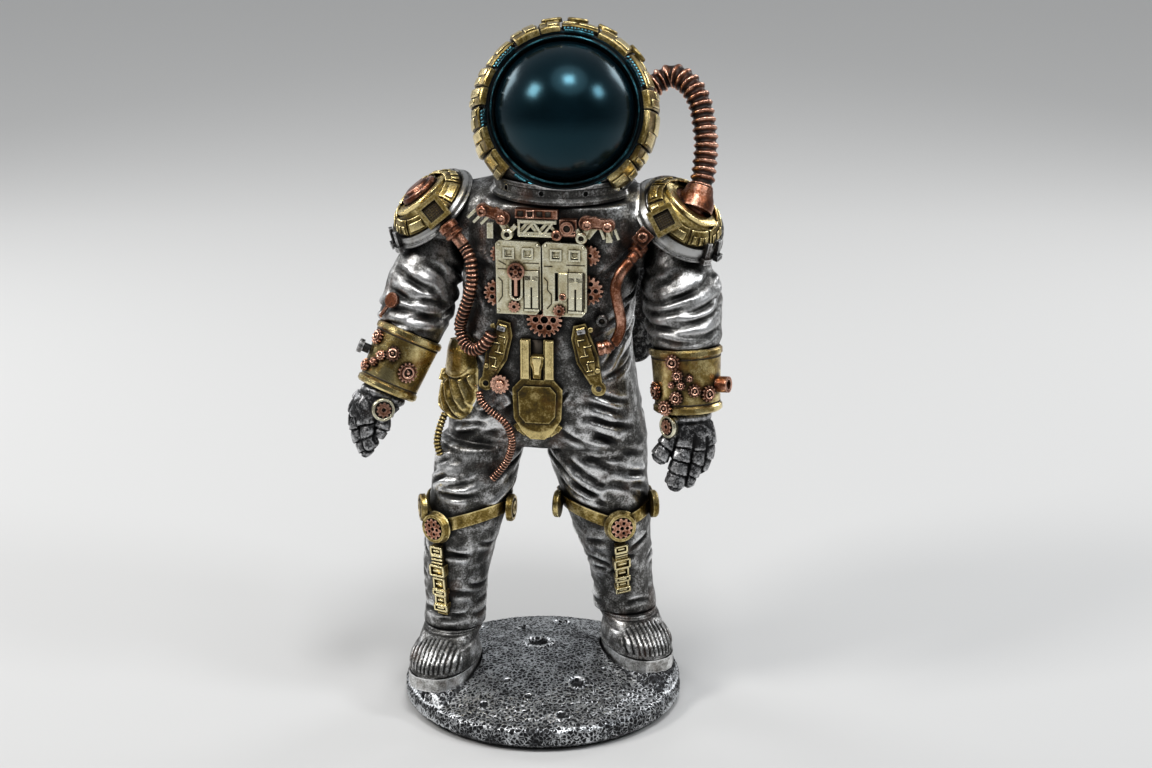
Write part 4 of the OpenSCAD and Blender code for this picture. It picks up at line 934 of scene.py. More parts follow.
def hoses():
    """The four ribbed hoses, the smooth pipe, and their copper collars and bracket."""
    ribbed_hose("ribbed_air_hose", AIR_HOSE, 5.3, 3.5, 1.1, "air_hose", 32)
    hose = moved([tuple(Vector(CHEST_HOSE[0]) + HOSE_START)] + CHEST_HOSE[1:], UPPER)
    ribbed_hose("ribbed_chest_hose", hose, 2.75, 1.9, 0.6, "chest_hose", plain=9)
    ribbed_hose("ribbed_thigh_hose", moved(THIGH_HOSE, UPPER), 1.75, 1.35, 0.4, "thigh_hose", 20)
    ribbed_hose("ribbed_holster_hose", moved(HOLSTER_HOSE, UPPER), 1.75, 1.6, 0.4, "holster_hose", 20, GOLD)
    path, run = spline(moved(CHEST_PIPE, UPPER), 0.5)
    joint = 1 - 0.32 * (peak(run, 7, 0.35) + peak(run, run[-1] - 5, 0.35))
    pipe = Solid()
    pipe.tube(path, 2.3 * joint * (1 + 0.05 * peak(run, 6, 1.2)), 24)
    pipe.build("smooth_chest_pipe", COPPER, ["chest_pipe"])
    cups = Solid()
    for (a, b), grow in ((hose[:2], 1.2), (moved(CHEST_PIPE, UPPER)[:2], 1)):
        a, b = Vector(a), Vector(b)
        cup = [(TIP, -2.2), (2.9, -2.2), (3.5, -1.6), (3.5, 0.4), (3, 0.8), (3, 1.8), (3.4, 2.1), (3.4, 3),
               (2.9, 3.4), (TIP, 3.4)]
        cups.lathe(cup, aim(a, b - a) @ Matrix.Diagonal((grow, grow, grow, 1)), 32)
    a, b = (UPPER @ Vector(q) for q in CHEST_PIPE[-2:])
    cups.lathe([(TIP, -3.4), (2.8, -3.4), (3.1, -3), (3.1, -1.6), (2.7, -1.2), (2.7, -0.4), (3.1, 0),
                (3.1, 1.4), (2.7, 1.8), (TIP, 1.8)], aim(b, b - a), 32)
    end, before = (Vector(q) for q in (AIR_HOSE[-1], AIR_HOSE[-2]))
    cups.lathe([(TIP, -4), (7.9, -4), (7.8, -0.5), (7.2, 1.6), (6.3, 3.6), (5.7, 6), (TIP, 6)],
               aim(end, before - end), 40)
    bracket = UPPER @ shift(39.8, -24, 216.8) @ turn("X", 76) @ turn("Z", -40)
    cups.box((6.4, 6.6, 2), bracket)
    cups.lathe([(2.1, 0), (2.1, 3), (1.6, 3.4), (1.2, 3.4), (1, 2.6), (TIP, 2.6)], bracket, 24)
    cups.build("hose_cups", COPPER, ["hose_fittings"], 0.1)


# ---------------------------------------------------------------- helmet

def shell_patch(solid, at, azimuth, polar, base, height, bevel=0.45, cells=5):
    """Raised plate on a ball round at's origin, between two azimuths and two polar angles."""
    (a0, a1), (p0, p1) = azimuth, polar
    da = degrees(bevel / base / sin(radians((p0 + p1) / 2)))
    dp = degrees(bevel / base)
    u = np.concatenate([[a0], np.linspace(a0 + da, a1 - da, cells), [a1]])
    v = np.concatenate([[p0], np.linspace(p0 + dp, p1 - dp, cells), [p1]])
    nu, nv = len(u), len(v)
    points, faces = [], []
    for level, r in ((1, base + height), (0, base)):
        for j, pj in enumerate(v):
            for i, ai in enumerate(u):
                rim = i in (0, nu - 1) or j in (0, nv - 1)
                rr = r - bevel * 0.8 if level and rim else r
                a, p = radians(ai), radians(pj)
                points.append((rr * sin(p) * cos(a), rr * sin(p) * sin(a), rr * cos(p)))
    half = nu * nv
    for j in range(nv - 1):
        for i in range(nu - 1):
            k = j * nu + i
            faces.append([k, k + nu, k + nu + 1, k + 1])
            faces.append([half + k, half + k + 1, half + k + nu + 1, half + k + nu])
    ring = list(range(nu)) + [j * nu + nu - 1 for j in range(1, nv)]
    ring += [(nv - 1) * nu + i for i in range(nu - 2, -1, -1)] + [j * nu for j in range(nv - 2, 0, -1)]
    for a, b in zip(ring, ring[1:] + ring[:1]):
        faces.append([a, b, half + b, half + a])
    solid.add(points, faces, at)


# Gold plates round the visor: start angle, sweep, front edge's polar angle, thickness
PLATES = [
    (-58, 20, 61.5, 3), (-37, 12, 63.6, 2.5), (-24, 24, 62, 3.1), (1, 13, 61.6, 3.5), (15, 26, 66.4, 2.6),
    (42, 24, 62.6, 3), (67, 25, 66.4, 2.6), (93, 14, 62, 3), (108, 18, 61.6, 3.5), (127, 22, 66.4, 2.6),
    (150, 13, 62, 3.3), (164, 12, 61.6, 3.5), (177, 14, 66.4, 2.7), (192, 16, 62, 3.2),
    (209, 17, 61.6, 2.8),
]


def helmet_plating():
    """Irregular gold plating round the visor, its discs, and teal blocks on the visor's seat."""
    rng = np.random.default_rng(5)
    plating, deep = Solid(), Solid()
    base = HELMET_R + 0.02
    for a0, sweep, front, thick in PLATES:
        a1 = a0 + sweep
        back = 84 if a0 < -40 or a0 > 200 else 92 + rng.uniform(-3, 1)
        shell_patch(plating, VISOR, (a0, a1), (front, back), base, thick - 0.6, 0.6)
        share = rng.uniform(0.4, 0.62)
        shell_patch(plating, VISOR, (a0 + 1.4, a0 + sweep * share),
                    (front + 2.5, back - rng.uniform(7, 13)), base + thick - 0.6, 0.6, 0.4)
        shell_patch(plating, VISOR, (a0 + sweep * share + 0.8, a1 - 1),
                    (front + rng.uniform(7, 12), back - 1.5), base + thick - 0.6, 0.45, 0.35)
        if front > 65:
            shell_patch(deep, VISOR, (a0 + 2, a1 - 2), (61.4, front + 0.5), base - 0.3, 1.2, 0.3, 3)
            for k in range(int(sweep / 2.6)):
                shell_patch(deep, VISOR, (a0 + 3 + 2.4 * k, a0 + 4.4 + 2.4 * k), (62.5, 65.4), base + 0.9,
                            0.6, 0.15, 2)
    for a in (40, 63, 82, 98):
        at = on_ball(VISOR, a, 81, base + 1.9)
        plating.lathe([(4.4, 0), (4.4, 1.5), (4, 2), (3.3, 2.1), (3, 1.8), (TIP, 1.8)], at, 36)
    plating.build("helmet_plating", GOLD, ["helmet_panels"], 0.15)
    for a in range(-128, -62, 11):
        shell_patch(deep, VISOR, (a, a + 9.6), (63.2, 66.2), base - 0.3, 0.9, 0.25, 3)
    deep.build("visor_seat_blocks", TEAL_TRIM, edge=0.1)


def visor_rim():
    """Stepped ring that holds the visor."""
    ring = Solid()
    ring.lathe([(29.35, 13.5), (29.35, 17.2), (29.7, 17.9), (30.3, 18), (30.7, 17.4), (30.8, 16.2),
                (31.6, 16), (31.9, 16.6), (32.3, 16.5), (32.45, 15.8), (32.45, 13.5)], VISOR, 128)
    ring.build("visor_rim", TEAL_TRIM, ["visor_ring"])


def helmet_back():
    """Two rows of low plates and a round cap at the back."""
    back = Solid()
    for a in range(0, 360, 30):
        shell_patch(back, VISOR, (a + 2, a + 28), (104, 128), HELMET_R - 0.2, 0.8, 0.35)
        shell_patch(back, VISOR, (a + 4, a + 26), (131, 152), HELMET_R - 0.2, 0.7, 0.35)
    back.knob(7.5, 1.6, on_ball(VISOR, 90, 180, HELMET_R - 0.4), 40)
    back.build("helmet_back_plates", SILVER, edge=0.12)


def visor_dome():
    """Smooth dome of the visor, in one turning."""
    dome = Solid()
    angles = np.linspace(0, acos((VISOR_SEAT - VISOR_MID) / VISOR_R), 60)
    profile = [(max(VISOR_R * sin(a), TIP), VISOR_MID + VISOR_R * cos(a)) for a in angles]
    dome.lathe(profile[::-1], VISOR, 160)
    dome.build("visor_dome", TEAL, ["visor"])


# ---------------------------------------------------------------- armour relief

def frame_on(solid, size, wall, high, at):
    """Square frame of four bars."""
    off = (size - wall) / 2
    for dx, dy, w, h in ((0, off, size, wall), (0, -off, size, wall), (off, 0, wall, size - 2 * wall),
                         (-off, 0, wall, size - 2 * wall)):
        solid.box((w, h, high), at @ shift(dx, dy, 0))


def bar_on(solid, a, b, width, high, lift):
    """Flat bar on the chest seat between two (x, z) points."""
    d = Vector(b) - Vector(a)
    m = (Vector(a) + Vector(b)) / 2
    solid.box((d.length, width, high), on_seat(m.x, m.y, lift) @ turn("Z", degrees(atan2(d.y, d.x))))


def plate_relief(gold, copper, shade_fill):
    """Frames, slots, tongues and etched panels on the chest plates, with near-black sheets and lines of painted
    shade.
    """
    face = GEAR_LIFT + PLATE_T
    for x in (-14.5, -6.6, 5.1, 12.8):
        gold.box((3.3, 3.3, 1.4), on_seat(x, 210.4, face - 1.9))
        frame_on(gold, 2.8, 0.35, 0.45, on_seat(x, 210.4, face - 0.5))
        # A thin near-black frame round each gold frame is painted shade
        frame_on(shade_fill, 3.4, 0.3, 0.1, on_seat(x, 210.4, face - 0.49))
    # H-shaped panels beside the slots
    for x, z in ((-5, 194.8), (13.2, 194.6)):
        # A near-black sheet under each H is painted shade round its bars
        shade_fill.box((6.8, 17.4, 0.12), on_seat(x, z, face))
        gold.box((5.8, 4, 0.7), on_seat(x, z + 6.4, face))
        gold.box((2.2, 3, 1), on_seat(x, z + 3.2, face))
        gold.box((6.2, 0.9, 0.5), on_seat(x, z - 8.2, face))
        for dx in (-1.6, 1.6):
            gold.box((2.3, 4.8, 0.9), on_seat(x + dx, z - 4.4, face))
    # U-shaped slot guide under the hand-wheel, with its copper rod
    slot_x, slot_foot, slot_r = -11.3, 193.3, 2.3
    # A near-black sheet is painted shade inside the slot
    shade_fill.box((3.6, 9.6, 0.14), on_seat(slot_x, 195.6, face))
    for dx in (-slot_r, slot_r):
        gold.box((0.9, 7.4, 1.1), on_seat(slot_x + dx, 197, face))
    for k in range(9):
        a = radians(180 + 22.5 * k)
        gold.box((0.95, 1, 1.1), on_seat(slot_x + slot_r * cos(a), slot_foot + slot_r * sin(a), face)
                 @ turn("Z", degrees(a)))
    rod = [tuple(on_seat(slot_x, z, face + 1.1).translation) for z in (201, 198, 195, 192.8)]
    copper.tube(rod, 0.75, 12)
    # Tongue with a crossed screw on the other plate
    outline = [(-1.9, 5.6), (1.9, 5.6), (1.9, -5), (1.1, -6.6), (-1.1, -6.6), (-1.9, -5)]
    gold.plate(outline, 0.9, on_seat(8.2, 197.4, face), 0.06)
    copper.knob(1.4, 1.3, on_seat(8, 193, face + 0.7), 18)
    # The screw's crossed slot is painted shade
    for spin in (45, -45):
        shade_fill.box((2, 0.32, 0.14), on_seat(8, 193, face + 2) @ turn("Z", spin))
    # Etched lines, drawn as thin near-black bars of painted shade
    for line in (((-18.8, 200), (-17.2, 198.4), (-17.2, 192), (-18.8, 189.6)),
                 ((-18.6, 207), (-15.6, 205.4)),
                 ((0.2, 200.6), (1.6, 199), (1.6, 195.4), (3.2, 193.6), (3.2, 189.6), (1.4, 187.4)),
                 ((-8.4, 206.4), (-2, 206.4)), ((9.4, 206.2), (17, 206.2)), ((-19, 203.6), (-15.4, 203.6)),
                 ((17, 203), (17, 188)), ((-1.8, 205), (-1.8, 187)), ((10.4, 204.6), (10.4, 187)),
                 ((-8.2, 204), (-8.2, 187)), ((0.2, 205.4), (3.6, 205.4))):
        for a, b in zip(line, line[1:]):
            bar_on(shade_fill, a, b, 0.32, 0.13, face)
    for x, z in ((-18.6, 214), (-2.6, 214), (0.8, 214), (16.4, 213.6), (-18.8, 186), (16.6, 186)):
        gold.knob(0.6, 0.55, on_seat(x, z, face), 10)


def works_relief(gold, copper, shade_fill):
    """Truss, V arms, bar and copper levers above the chest plates."""
    lattice = [((-10.8, 223.6), (4.6, 223.6)), ((-10.8, 217.6), (4.6, 217.6)),
               ((-10.4, 223.6), (-10.4, 217.4)), ((-9.4, 217.6), (-4.4, 223.2)),
               ((-4.4, 223.2), (-0.6, 217.8)), ((-0.6, 217.8), (3.6, 223.2))]
    for a, b in lattice:
        bar_on(gold, a, b, 1, 3.3, 0)
    for a, b in (((-18.6, 224.4), (-15.2, 217.9)), ((-15.2, 217.9), (-11.8, 221.6)),
                 ((18.6, 223), (15.6, 216.4)), ((15.6, 216.4), (13.4, 221))):
        bar_on(gold, a, b, 1.9, 2.6, 1)
    for x, z in ((-15.2, 217.9), (15.4, 217.4)):
        gold.lathe([(2.5, 0), (2.5, 3.6), (2.1, 4.1), (1.2, 4.1), (1.1, 3.2), (TIP, 3.2)],
                   on_seat(x, z, 0.6), 24)
        # A near-black disc is painted shade in the cup's hollow
        shade_fill.knob(1, 0.3, on_seat(x, z, 3.7), 16)
    # Near-black squares are painted shade in the openings
    for x in (-9.6, -5.6, -1.8, 1.8):
        shade_fill.box((2.2, 2, 0.2), on_seat(x, 226.8, 4))
    frame_on(copper, 3.4, 0.6, 0.5, on_seat(-5.6, 226.8, 4))
    # A near-black disc is painted shade
    shade_fill.knob(1.7, 0.2, on_seat(9.6, 221.4, 4.3), 20)
    for z in (218.6, 219.9):
        copper.box((6.4, 0.6, 0.5), on_seat(9.8, z, 3.6))
    copper.lathe([(2.2, 0), (2.2, 1.8), (1.7, 2.2), (1.2, 2.2), (1, 1.4), (TIP, 1.4)],
                 on_seat(5.4, 218.4, 3.2), 24)
    # Copper bodies on the linkages, like little engines, over claws
    for (x0, z0), (x1, z1) in (((-16.8, 225), (-25.2, 228.2)), ((17.6, 224), (26.8, 223.4))):
        way = Vector((x1 - x0, z1 - z0))
        flip = 1 if x1 > x0 else -1
        mid = on_seat((x0 + x1) / 2, (z0 + z1) / 2, 4.4) @ turn("Z", degrees(atan2(way.y, way.x)))
        outline = [(-6.2, 0.4), (-5.2, 2.6), (-1, 3.4), (1, 2.4), (5, 2.4), (6.6, 0.2), (5.4, -1.2),
                   (-5.4, -1.4)]
        copper.plate([(px, flip * pz) for px, pz in outline][::flip], 1.8, mid, 0.12)
        for px in (-4.2, 4.2):
            copper.lathe([(2, 0), (2, 2.3), (1.6, 2.7), (1.1, 2.7), (0.9, 2), (TIP, 2)],
                         mid @ shift(px, -flip * 0.6, 0), 24)
        for px, reach in ((2, 5), (5, 5.6), (8, 4.6)):
            claw = mid @ shift(px, -flip * (reach / 2 + 1.4), -1.6) @ turn("Z", flip * 24)
            gold.box((1.1, reach, 1.2), claw)


def chest_relief():
    """Everything small that stands on the chest, in three pieces."""
    gold, copper, shade_fill = Solid(), Solid(), Solid()
    plate_relief(gold, copper, shade_fill)
    works_relief(gold, copper, shade_fill)
    gold.build("chest_relief", PALE_GOLD, edge=0.12)
    copper.build("chest_copper_relief", COPPER, edge=0.1)
    shade_fill.build("chest_shadow_lines", SHADE_BLACK)


def torso_trim():
    """Screw boss, hip plates, the crotch plate's clasp and segmented lip, and a hip gear."""
    silver, gold, copper, shade_fill, bronze, clasp = (Solid() for _ in range(6))
    boss = on_seat(23.4, 181.6, -1.2)
    silver.lathe([(2.6, -1), (2.6, 0.9), (2.2, 1.3), (1.3, 1.3), (1.1, 0.4), (TIP, 0.4)], boss, 24)
    # A near-black disc is painted shade in the boss's hollow
    shade_fill.knob(1, 0.1, boss @ shift(0, 0, 0.42), 16)
    for k in range(7):
        a = radians(-54 + 18 * k)
        gold.box((3.1, 3.2, 1.5), on_seat(CLASP_X + 10.2 * sin(a), 139.4 - 8.2 * cos(a), -0.4)
                 @ turn("Z", degrees(a)))
    for x, z in ((-21.8, 178.4), (-24.8, 161), (19, 178.4), (22, 161)):
        gold.knob(1.1, 0.8, on_seat(x, z, 1.8), 16)
    for x, sign in ((-20.4, 1), (17.6, -1)):
        at = on_seat(x, 167, 1.8) @ turn("Z", -14 * sign)
        rim = [(-1.9, 12.4), (1.6, 12.4), (3.6, 8.4), (3.7, -2), (1.8, -8.4), (-1.6, -8.6), (-3.2, -2),
               (-2.6, 6)]
        bronze.plate([(sign * px, pz) for px, pz in rim][::-sign], 0.8, at, 0.1)
        ribs = ((0.8, 7.4, 3.2, 0.4), (2.2, 6.2, 0.4, 2.6), (-1.2, 4.2, 3.2, 0.4), (0.4, 2, 0.4, 3),
                (1, 0.4, 3.4, 0.4), (-1, -2.4, 3, 0.4), (0.6, -4.6, 0.4, 3), (0.4, -6.2, 2.6, 0.4))
        for dx, dz, w, h in ribs:
            gold.box((w, h, 0.4), at @ shift(sign * dx, dz, 0.7))
            # A near-black copy of each rib, shifted down and aside, is its painted shadow
            shade_fill.box((w, h, 0.1), at @ shift(sign * dx + 0.2, dz - 0.4, 0.8))
        silver.box((3.4, 1.8, 1.6), at @ shift(sign * -0.4, 11, 0.5))
    # Rails and bell-shaped clasp above the crotch plate, with painted shade in the gap between
    shade_fill.box((5.6, 12, 0.3), on_seat(CLASP_X, 166.6, 0.3))
    for dx in (-5.2, 5.2):
        gold.box((3.6, 16.6, 0.8), on_seat(CLASP_X + dx, 164.4, 1.6))
        gold.box((0.5, 15, 0.4), on_seat(CLASP_X + dx * 1.25, 164.4, 2.3))
    bell = [(-1.9, -6.2), (1.9, -6.2), (2.2, -1.6), (3.3, 1.6), (3.3, 4.4), (2.4, 5.2), (-2.4, 5.2),
            (-3.3, 4.4), (-3.3, 1.6), (-2.2, -1.6)]
    clasp.plate(bell, 2.2, on_seat(CLASP_X, 161.6, 0.6), 0.16)
    clasp.plate([(px * 0.62, pz * 0.7 + 0.8) for px, pz in bell], 0.5, on_seat(CLASP_X, 161.6, 2.7), 0.3)
    copper.gear(3.9, 12, 1.7, on_seat(-19, 153.4, 1.7), 0.3)
    copper.lathe([(2, 0), (2, 1.3), (1.6, 1.7), (0.9, 1.7), (0.8, 1.1), (TIP, 1.1)],
                 on_seat(-19, 153.4, 3.4), 24)
    silver.build("torso_screw", SILVER, edge=0.1)
    bronze.build("hip_plate_relief", BRONZE, edge=0.15)
    clasp.build("bell_clasp", GOLD, ["crotch_clip"], 0.3)
    gold.build("hip_relief", GOLD, edge=0.15)
    copper.build("hip_hubs", COPPER, edge=0.1)
    shade_fill.build("hip_shadow_lines", SHADE_BLACK)


def pauldron_relief(side):
    """Panels, seams and brackets on a pauldron, and its flange's rounded lip."""
    at = pauldron_frame(side)
    disc = disc_frame(side)
    rng = np.random.default_rng(61 if side == "left" else 62)
    gold, silver, dark = Solid(), Solid(), Solid()
    for k in range(9):
        a = 40 * k + 6
        shell_patch(gold, at, (a, a + 36), (40, 58.5), SHELL_R - 0.1, 0.9, 0.4)
        if k % 2:
            shell_patch(gold, at, (a + 5, a + 31), (46, 55.5), SHELL_R + 0.8, 0.6, 0.35)
        else:
            for da in (4, 16, 26):
                shell_patch(gold, at, (a + da, a + da + rng.uniform(6, 9)), (47, 56), SHELL_R + 0.8,
                            rng.uniform(0.4, 0.8), 0.3)
    gold.lathe([(DISC_R + 0.1, 0.4), (DISC_R + 0.1, 2.9), (DISC_R - 0.4, 3.4), (8.9, 3.4),
                (8.6, 3), (8.6, 1.2)], disc, 64)
    gold.lathe([(DISC_R + 1.2, -1.5), (DISC_R + 1.2, 0.3), (DISC_R + 0.8, 0.8), (DISC_R - 0.6, 0.8),
                (DISC_R - 0.6, -1.5)], disc, 64)
    p0, p1 = FLANGE_EDGES[side]
    lip = [(p0 + 0.5, -1.2), (p0 + 0.5, -0.4), (p0 + 2, 0), (p1 - 4.2, 0.1), (p1 - 3.6, -0.4),
           (p1 - 2.6, 0.4), (p1 - 1, 0.5), (p1 + 0.6, 0.1), (p1 + 0.8, -1.4)]
    dark.lathe([((FLANGE_R + out) * sin(radians(p)), (FLANGE_R + out) * cos(radians(p))) for p, out in lip],
               at, 96)
    sign = HAND_SIGN[side]
    for a in (-6, 14):
        bracket = on_ball(at, 90 - sign * 90 + a * sign, 63, FLANGE_R)
        silver.box((2.2, 9, 1.6), bracket)
        silver.box((4, 2.4, 2.4), bracket @ shift(0, -3.4, 0.2))
    if side == "right":
        # Stepped copper cap
        copper = Solid()
        copper.lathe([(8.4, 1.3), (8.4, 5.2), (7.9, 5.9), (6.6, 5.9), (6.4, 5.4), (5.8, 5.4), (5.6, 6.8),
                      (5, 7.2), (TIP, 7.2)], disc, 48)
        copper.build("pauldron_cap", COPPER, ["pauldron_caps"])
    else:
        plug = Solid()
        plug.lathe([(8.7, 0.6), (8.7, 2.7), (8.2, 3.1), (TIP, 3.1)], disc, 48)
        plug.build("pauldron_inlet", COPPER)
    gold.build("pauldron_relief_" + side, GOLD, edge=0.12)
    silver.build("flange_brackets_" + side, SILVER, edge=0.1)
    dark.build("flange_lip_" + side, SHADED_SILVER)


def holster_relief():
    """Thigh armour: a shield with a domed flap over slanting fins, laid on the hip."""
    skin = ray_tree("torso")
    nu, nv = 70, 120
    points, rise = [], []
    for j in range(nv):
        v = j / (nv - 1)
        z = 132.5 + 36 * v
        left = np.interp(v, (0, 0.12, 0.35, 0.7, 0.9, 1), (206, 190, 181, 184, 192, 200))
        right = np.interp(v, (0, 0.12, 0.35, 0.7, 0.9, 1), (212, 217, 225, 225, 221, 212))
        for i in range(nu):
            u = i / (nu - 1)
            a = radians(left + (right - left) * u)
            hit = skin_point(skin, a, z)
            across, up = 19 * (u - 0.5) * (right - left) / 44, z - 151
            rim = smoothstep(0, 0.07, min(u, 1 - u)) * smoothstep(0, 0.04, min(v, 1 - v))
            flap = np.hypot(across / 8.6, (up - 9) / 8.4)
            dome = 2.6 * sqrt(max(0, 1 - flap ** 2)) + 0.7 * peak(flap, 0.96, 0.07)
            wave = sin(tau * (across * 0.86 + up * 0.34) / 3.3)
            fins = (1.3 * max(wave, -0.7)) * smoothstep(1.04, 1.1, flap) * smoothstep(9, 4, up)
            boss = np.hypot(across + 5.2, up + 1.4)
            knob = 1.5 * (1 - smoothstep(2.2, 2.7, boss)) - 0.8 * peak(boss, 3.2, 0.5)
            lift = 0.15 + rim * (1.9 + 1.6 * (1 - u) + dome + fins + knob)
            points.append(hit[0] + hit[1] * lift)
            rise.append(0.4 * fins + 0.2 * knob + 0.25 * (flap < 1) - 0.6 * (1 - rim))
    faces = [[j * nu + i, j * nu + i + 1, (j + 1) * nu + i + 1, (j + 1) * nu + i]
             for j in range(nv - 1) for i in range(nu - 1)]
    ob = new_object("holster_shield", points, faces, GOLD)
    set_rise(ob, np.array(rise))
    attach(ob, "statue")
    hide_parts("holster")


def ray_tree(node):
    """Ray-casting tree over a CAD node, in millimetres."""
    mesh = NODES[node].data
    world = NODES[node].matrix_world
    points = [world @ v.co / MM for v in mesh.vertices]
    return BVHTree.FromPolygons(points, [p.vertices[:] for p in mesh.polygons])


def skin_point(tree, angle, z):
    """Point on the torso's skin at an angle round its axis, and the level way out from the axis."""
    way = Vector((cos(angle), sin(angle), 0))
    outside, usual_gap = 90, 52
    start = UPPER @ (Vector((-4, 0, z)) + way * outside)
    out = UPPER.to_3x3() @ way
    where = tree.ray_cast(start, -out)[0] or start - out * usual_gap
    return np.array(where), np.array(out)


def knee_relief():
    """Ringed discs at the ends of the knee straps."""
    gold = Solid()
    for node in ("knee_band_right", "knee_band_left"):
        low, high = box_mm(node)
        sign = -1 if "right" in node else 1
        for reach in (0.98, -0.98):
            x = (low.x + high.x) / 2 + reach * (high.x - low.x) / 2
            at = shift(x - reach * 1.4, low.y * 0.35 + high.y * 0.65 - 14, high.z - 3.6)
            gold.lathe([(6, 0), (6, 1.9), (5.4, 2.6), (4.4, 2.6), (4.1, 1.9), (3.2, 1.9), (3, 2.8),
                        (1.6, 3), (1.2, 2.2), (TIP, 2.2)],
                       at @ turn("Y", 90 * copysign(1, reach)) @ turn("X", -12 * sign), 28)
    gold.build("knee_side_discs", GOLD, edge=0.1)


# Open links of a shin buckle: share of the way down, width, height, lift
SHIN_LINKS = [(0.07, 6, 4.2, 0), (0.345, 7.4, 5.4, 0.9), (0.55, 6, 6, 0.1), (0.67, 6.8, 3, 0.6),
              (0.79, 5.6, 5, 0.1), (0.895, 6.8, 3.2, 0.6)]


def shin_links():
    """Open links over the plates of the shin buckles, with dark bronze sheets in their openings as painted shade.
    """
    links, shade_fill = Solid(), Solid()
    wall = 0.8
    for at, length in ((shift(-45.6, -20.4, 78) @ turn("Z", -30) @ turn("X", 7), 33.5),
                       (shift(34, -14.6, 76) @ turn("Z", 14) @ turn("Y", -8) @ turn("X", 20), 29)):
        for share, w, h, lift in SHIN_LINKS:
            plane = at @ shift(0, 0, -share * length) @ turn("X", 90)
            # A dark bronze sheet in each link is painted shade
            shade_fill.box((w - 1.2, h - 1.2, 0.14), plane @ shift(0, 0, lift))
            for dx, dy, bw, bh in ((0, (h - wall) / 2, w, wall), (0, (wall - h) / 2, w, wall),
                                   ((w - wall) / 2, 0, wall, h), ((wall - w) / 2, 0, wall, h)):
                links.box((bw, bh, 0.9), plane @ shift(dx, dy, lift - 0.1))
            links.box((w * 0.5, wall, 0.7), plane @ shift(0, 0, lift - 0.1))
        for k in range(3):
            links.box((5.4, wall, 0.9), at @ shift(0, 0, -(0.14 + 0.05 * k) * length) @ turn("X", 90))
    links.build("shin_buckle_links", BRIGHT_GOLD, edge=0.15)
    shade_fill.build("shin_buckle_recess_shade", BRONZE)


def cuff_relief(side):
    """Painted shade in the grooves beside a cuff's beads and in the ring gears' wells, the gears' hubs, and the
    medallion's rim over its well of painted shade.
    """
    shade_fill, copper = Solid(), Solid()
    cuff = cuff_frame(side)
    r0, r1 = CUFF_R[side]
    # Near-black rings are painted shade in the grooves beside the beads
    for z, r in ((3.9, r0 - 0.82), (CUFF_LEN - 3.9, r1 + 0.12)):
        shade_fill.lathe([(r, z - 0.35), (r + 0.07, z - 0.3), (r + 0.07, z + 0.3), (r, z + 0.35)], cuff, 72)
    for z, around, seat, radius in CUFF_GEARS[side]:
        at = cuff @ turn("Z", around) @ shift(0, seat, z) @ turn("X", -90)
        # A near-black disc is painted shade in each gear's well
        shade_fill.lathe([(radius * 0.62, 1.21), (radius * 0.62, 1.27), (TIP, 1.27)], at, 24)
        copper.lathe([(radius * 0.62, 1.1), (radius * 0.62, 1.75), (radius * 0.5, 1.85),
                      (radius * 0.42, 1.7), (radius * 0.42, 1.1)], at, 24)
        copper.knob(radius * 0.2, 0.7, at @ shift(0, 0, 1.1), 12)
    z, around, out = HAND_SEAT[side]
    at = hand_frame(side) @ turn("Z", around) @ shift(0, out, z) @ turn("X", -90)
    rim = Solid()
    rim.lathe([(4.9, -0.6), (4.9, 1.1), (4.7, 1.6), (4.4, 1.7), (4.2, 1.35), (4, 1.7), (3.75, 1.6),
               (3.65, 0.9)], at, 40)
    rim.build("medallion_rim_" + side, PALE_GOLD, body="hand_" + side)
    well = Solid()
    # A near-black disc is painted shade in the medallion's well
    well.lathe([(3.8, 1.21), (3.8, 1.27), (TIP, 1.27)], at, 28)
    well.build("medallion_well_shade_" + side, SHADE_BLACK, body="hand_" + side)
    shade_fill.build("cuff_groove_shade_" + side, SHADE_BLACK, body="arm_" + side)
    copper.build("cuff_gear_rings_" + side, COPPER, edge=0.06, body="arm_" + side)


def buckle_fills():
    """Near-black knurls in the shoulder buckles, painted shade."""
    shade_fill = Solid()
    for side, spin in (("right", 42), ("left", 30)):
        at = shoulder_frame(side) @ turn("X", 68) @ shift(0, 0, FLANGE_R + 0.9) @ turn("Z", spin)
        for i in range(7):
            for j in range(7):
                shade_fill.box((0.7, 0.7, 0.5), at @ shift(i - 3, j - 3, 0) @ turn("Z", 45))
    shade_fill.build("buckle_knurl_shade", SHADE_BLACK, edge=0.1)


def backpack_relief():
    """Rivets, vents and gears on the back of the life-support pack."""
    gold, copper, dark = Solid(), Solid(), Solid()

    def on_pack(x, z, out=52.0):
        return UPPER @ shift(x, out, z) @ turn("X", -90)

    for k in range(5):
        dark.box((34, 1.8, 1.2), on_pack(2, 165 + 3.4 * k))
    for x in (-29, 33):
        for z in (158, 178, 198, 212):
            gold.knob(1.6, 1.4, on_pack(x, z), 18)
    for x in (-14, 18):
        copper.gear(6, 18, 1.4, on_pack(x, 184, 53.1), 0.3, 5)
    gold.build("backpack_rivets", GOLD, edge=0.25)
    copper.build("backpack_gears", COPPER, edge=0.1)
    dark.build("backpack_vents", PEWTER, edge=0.25)


# ---------------------------------------------------------------- carried-over CAD nodes

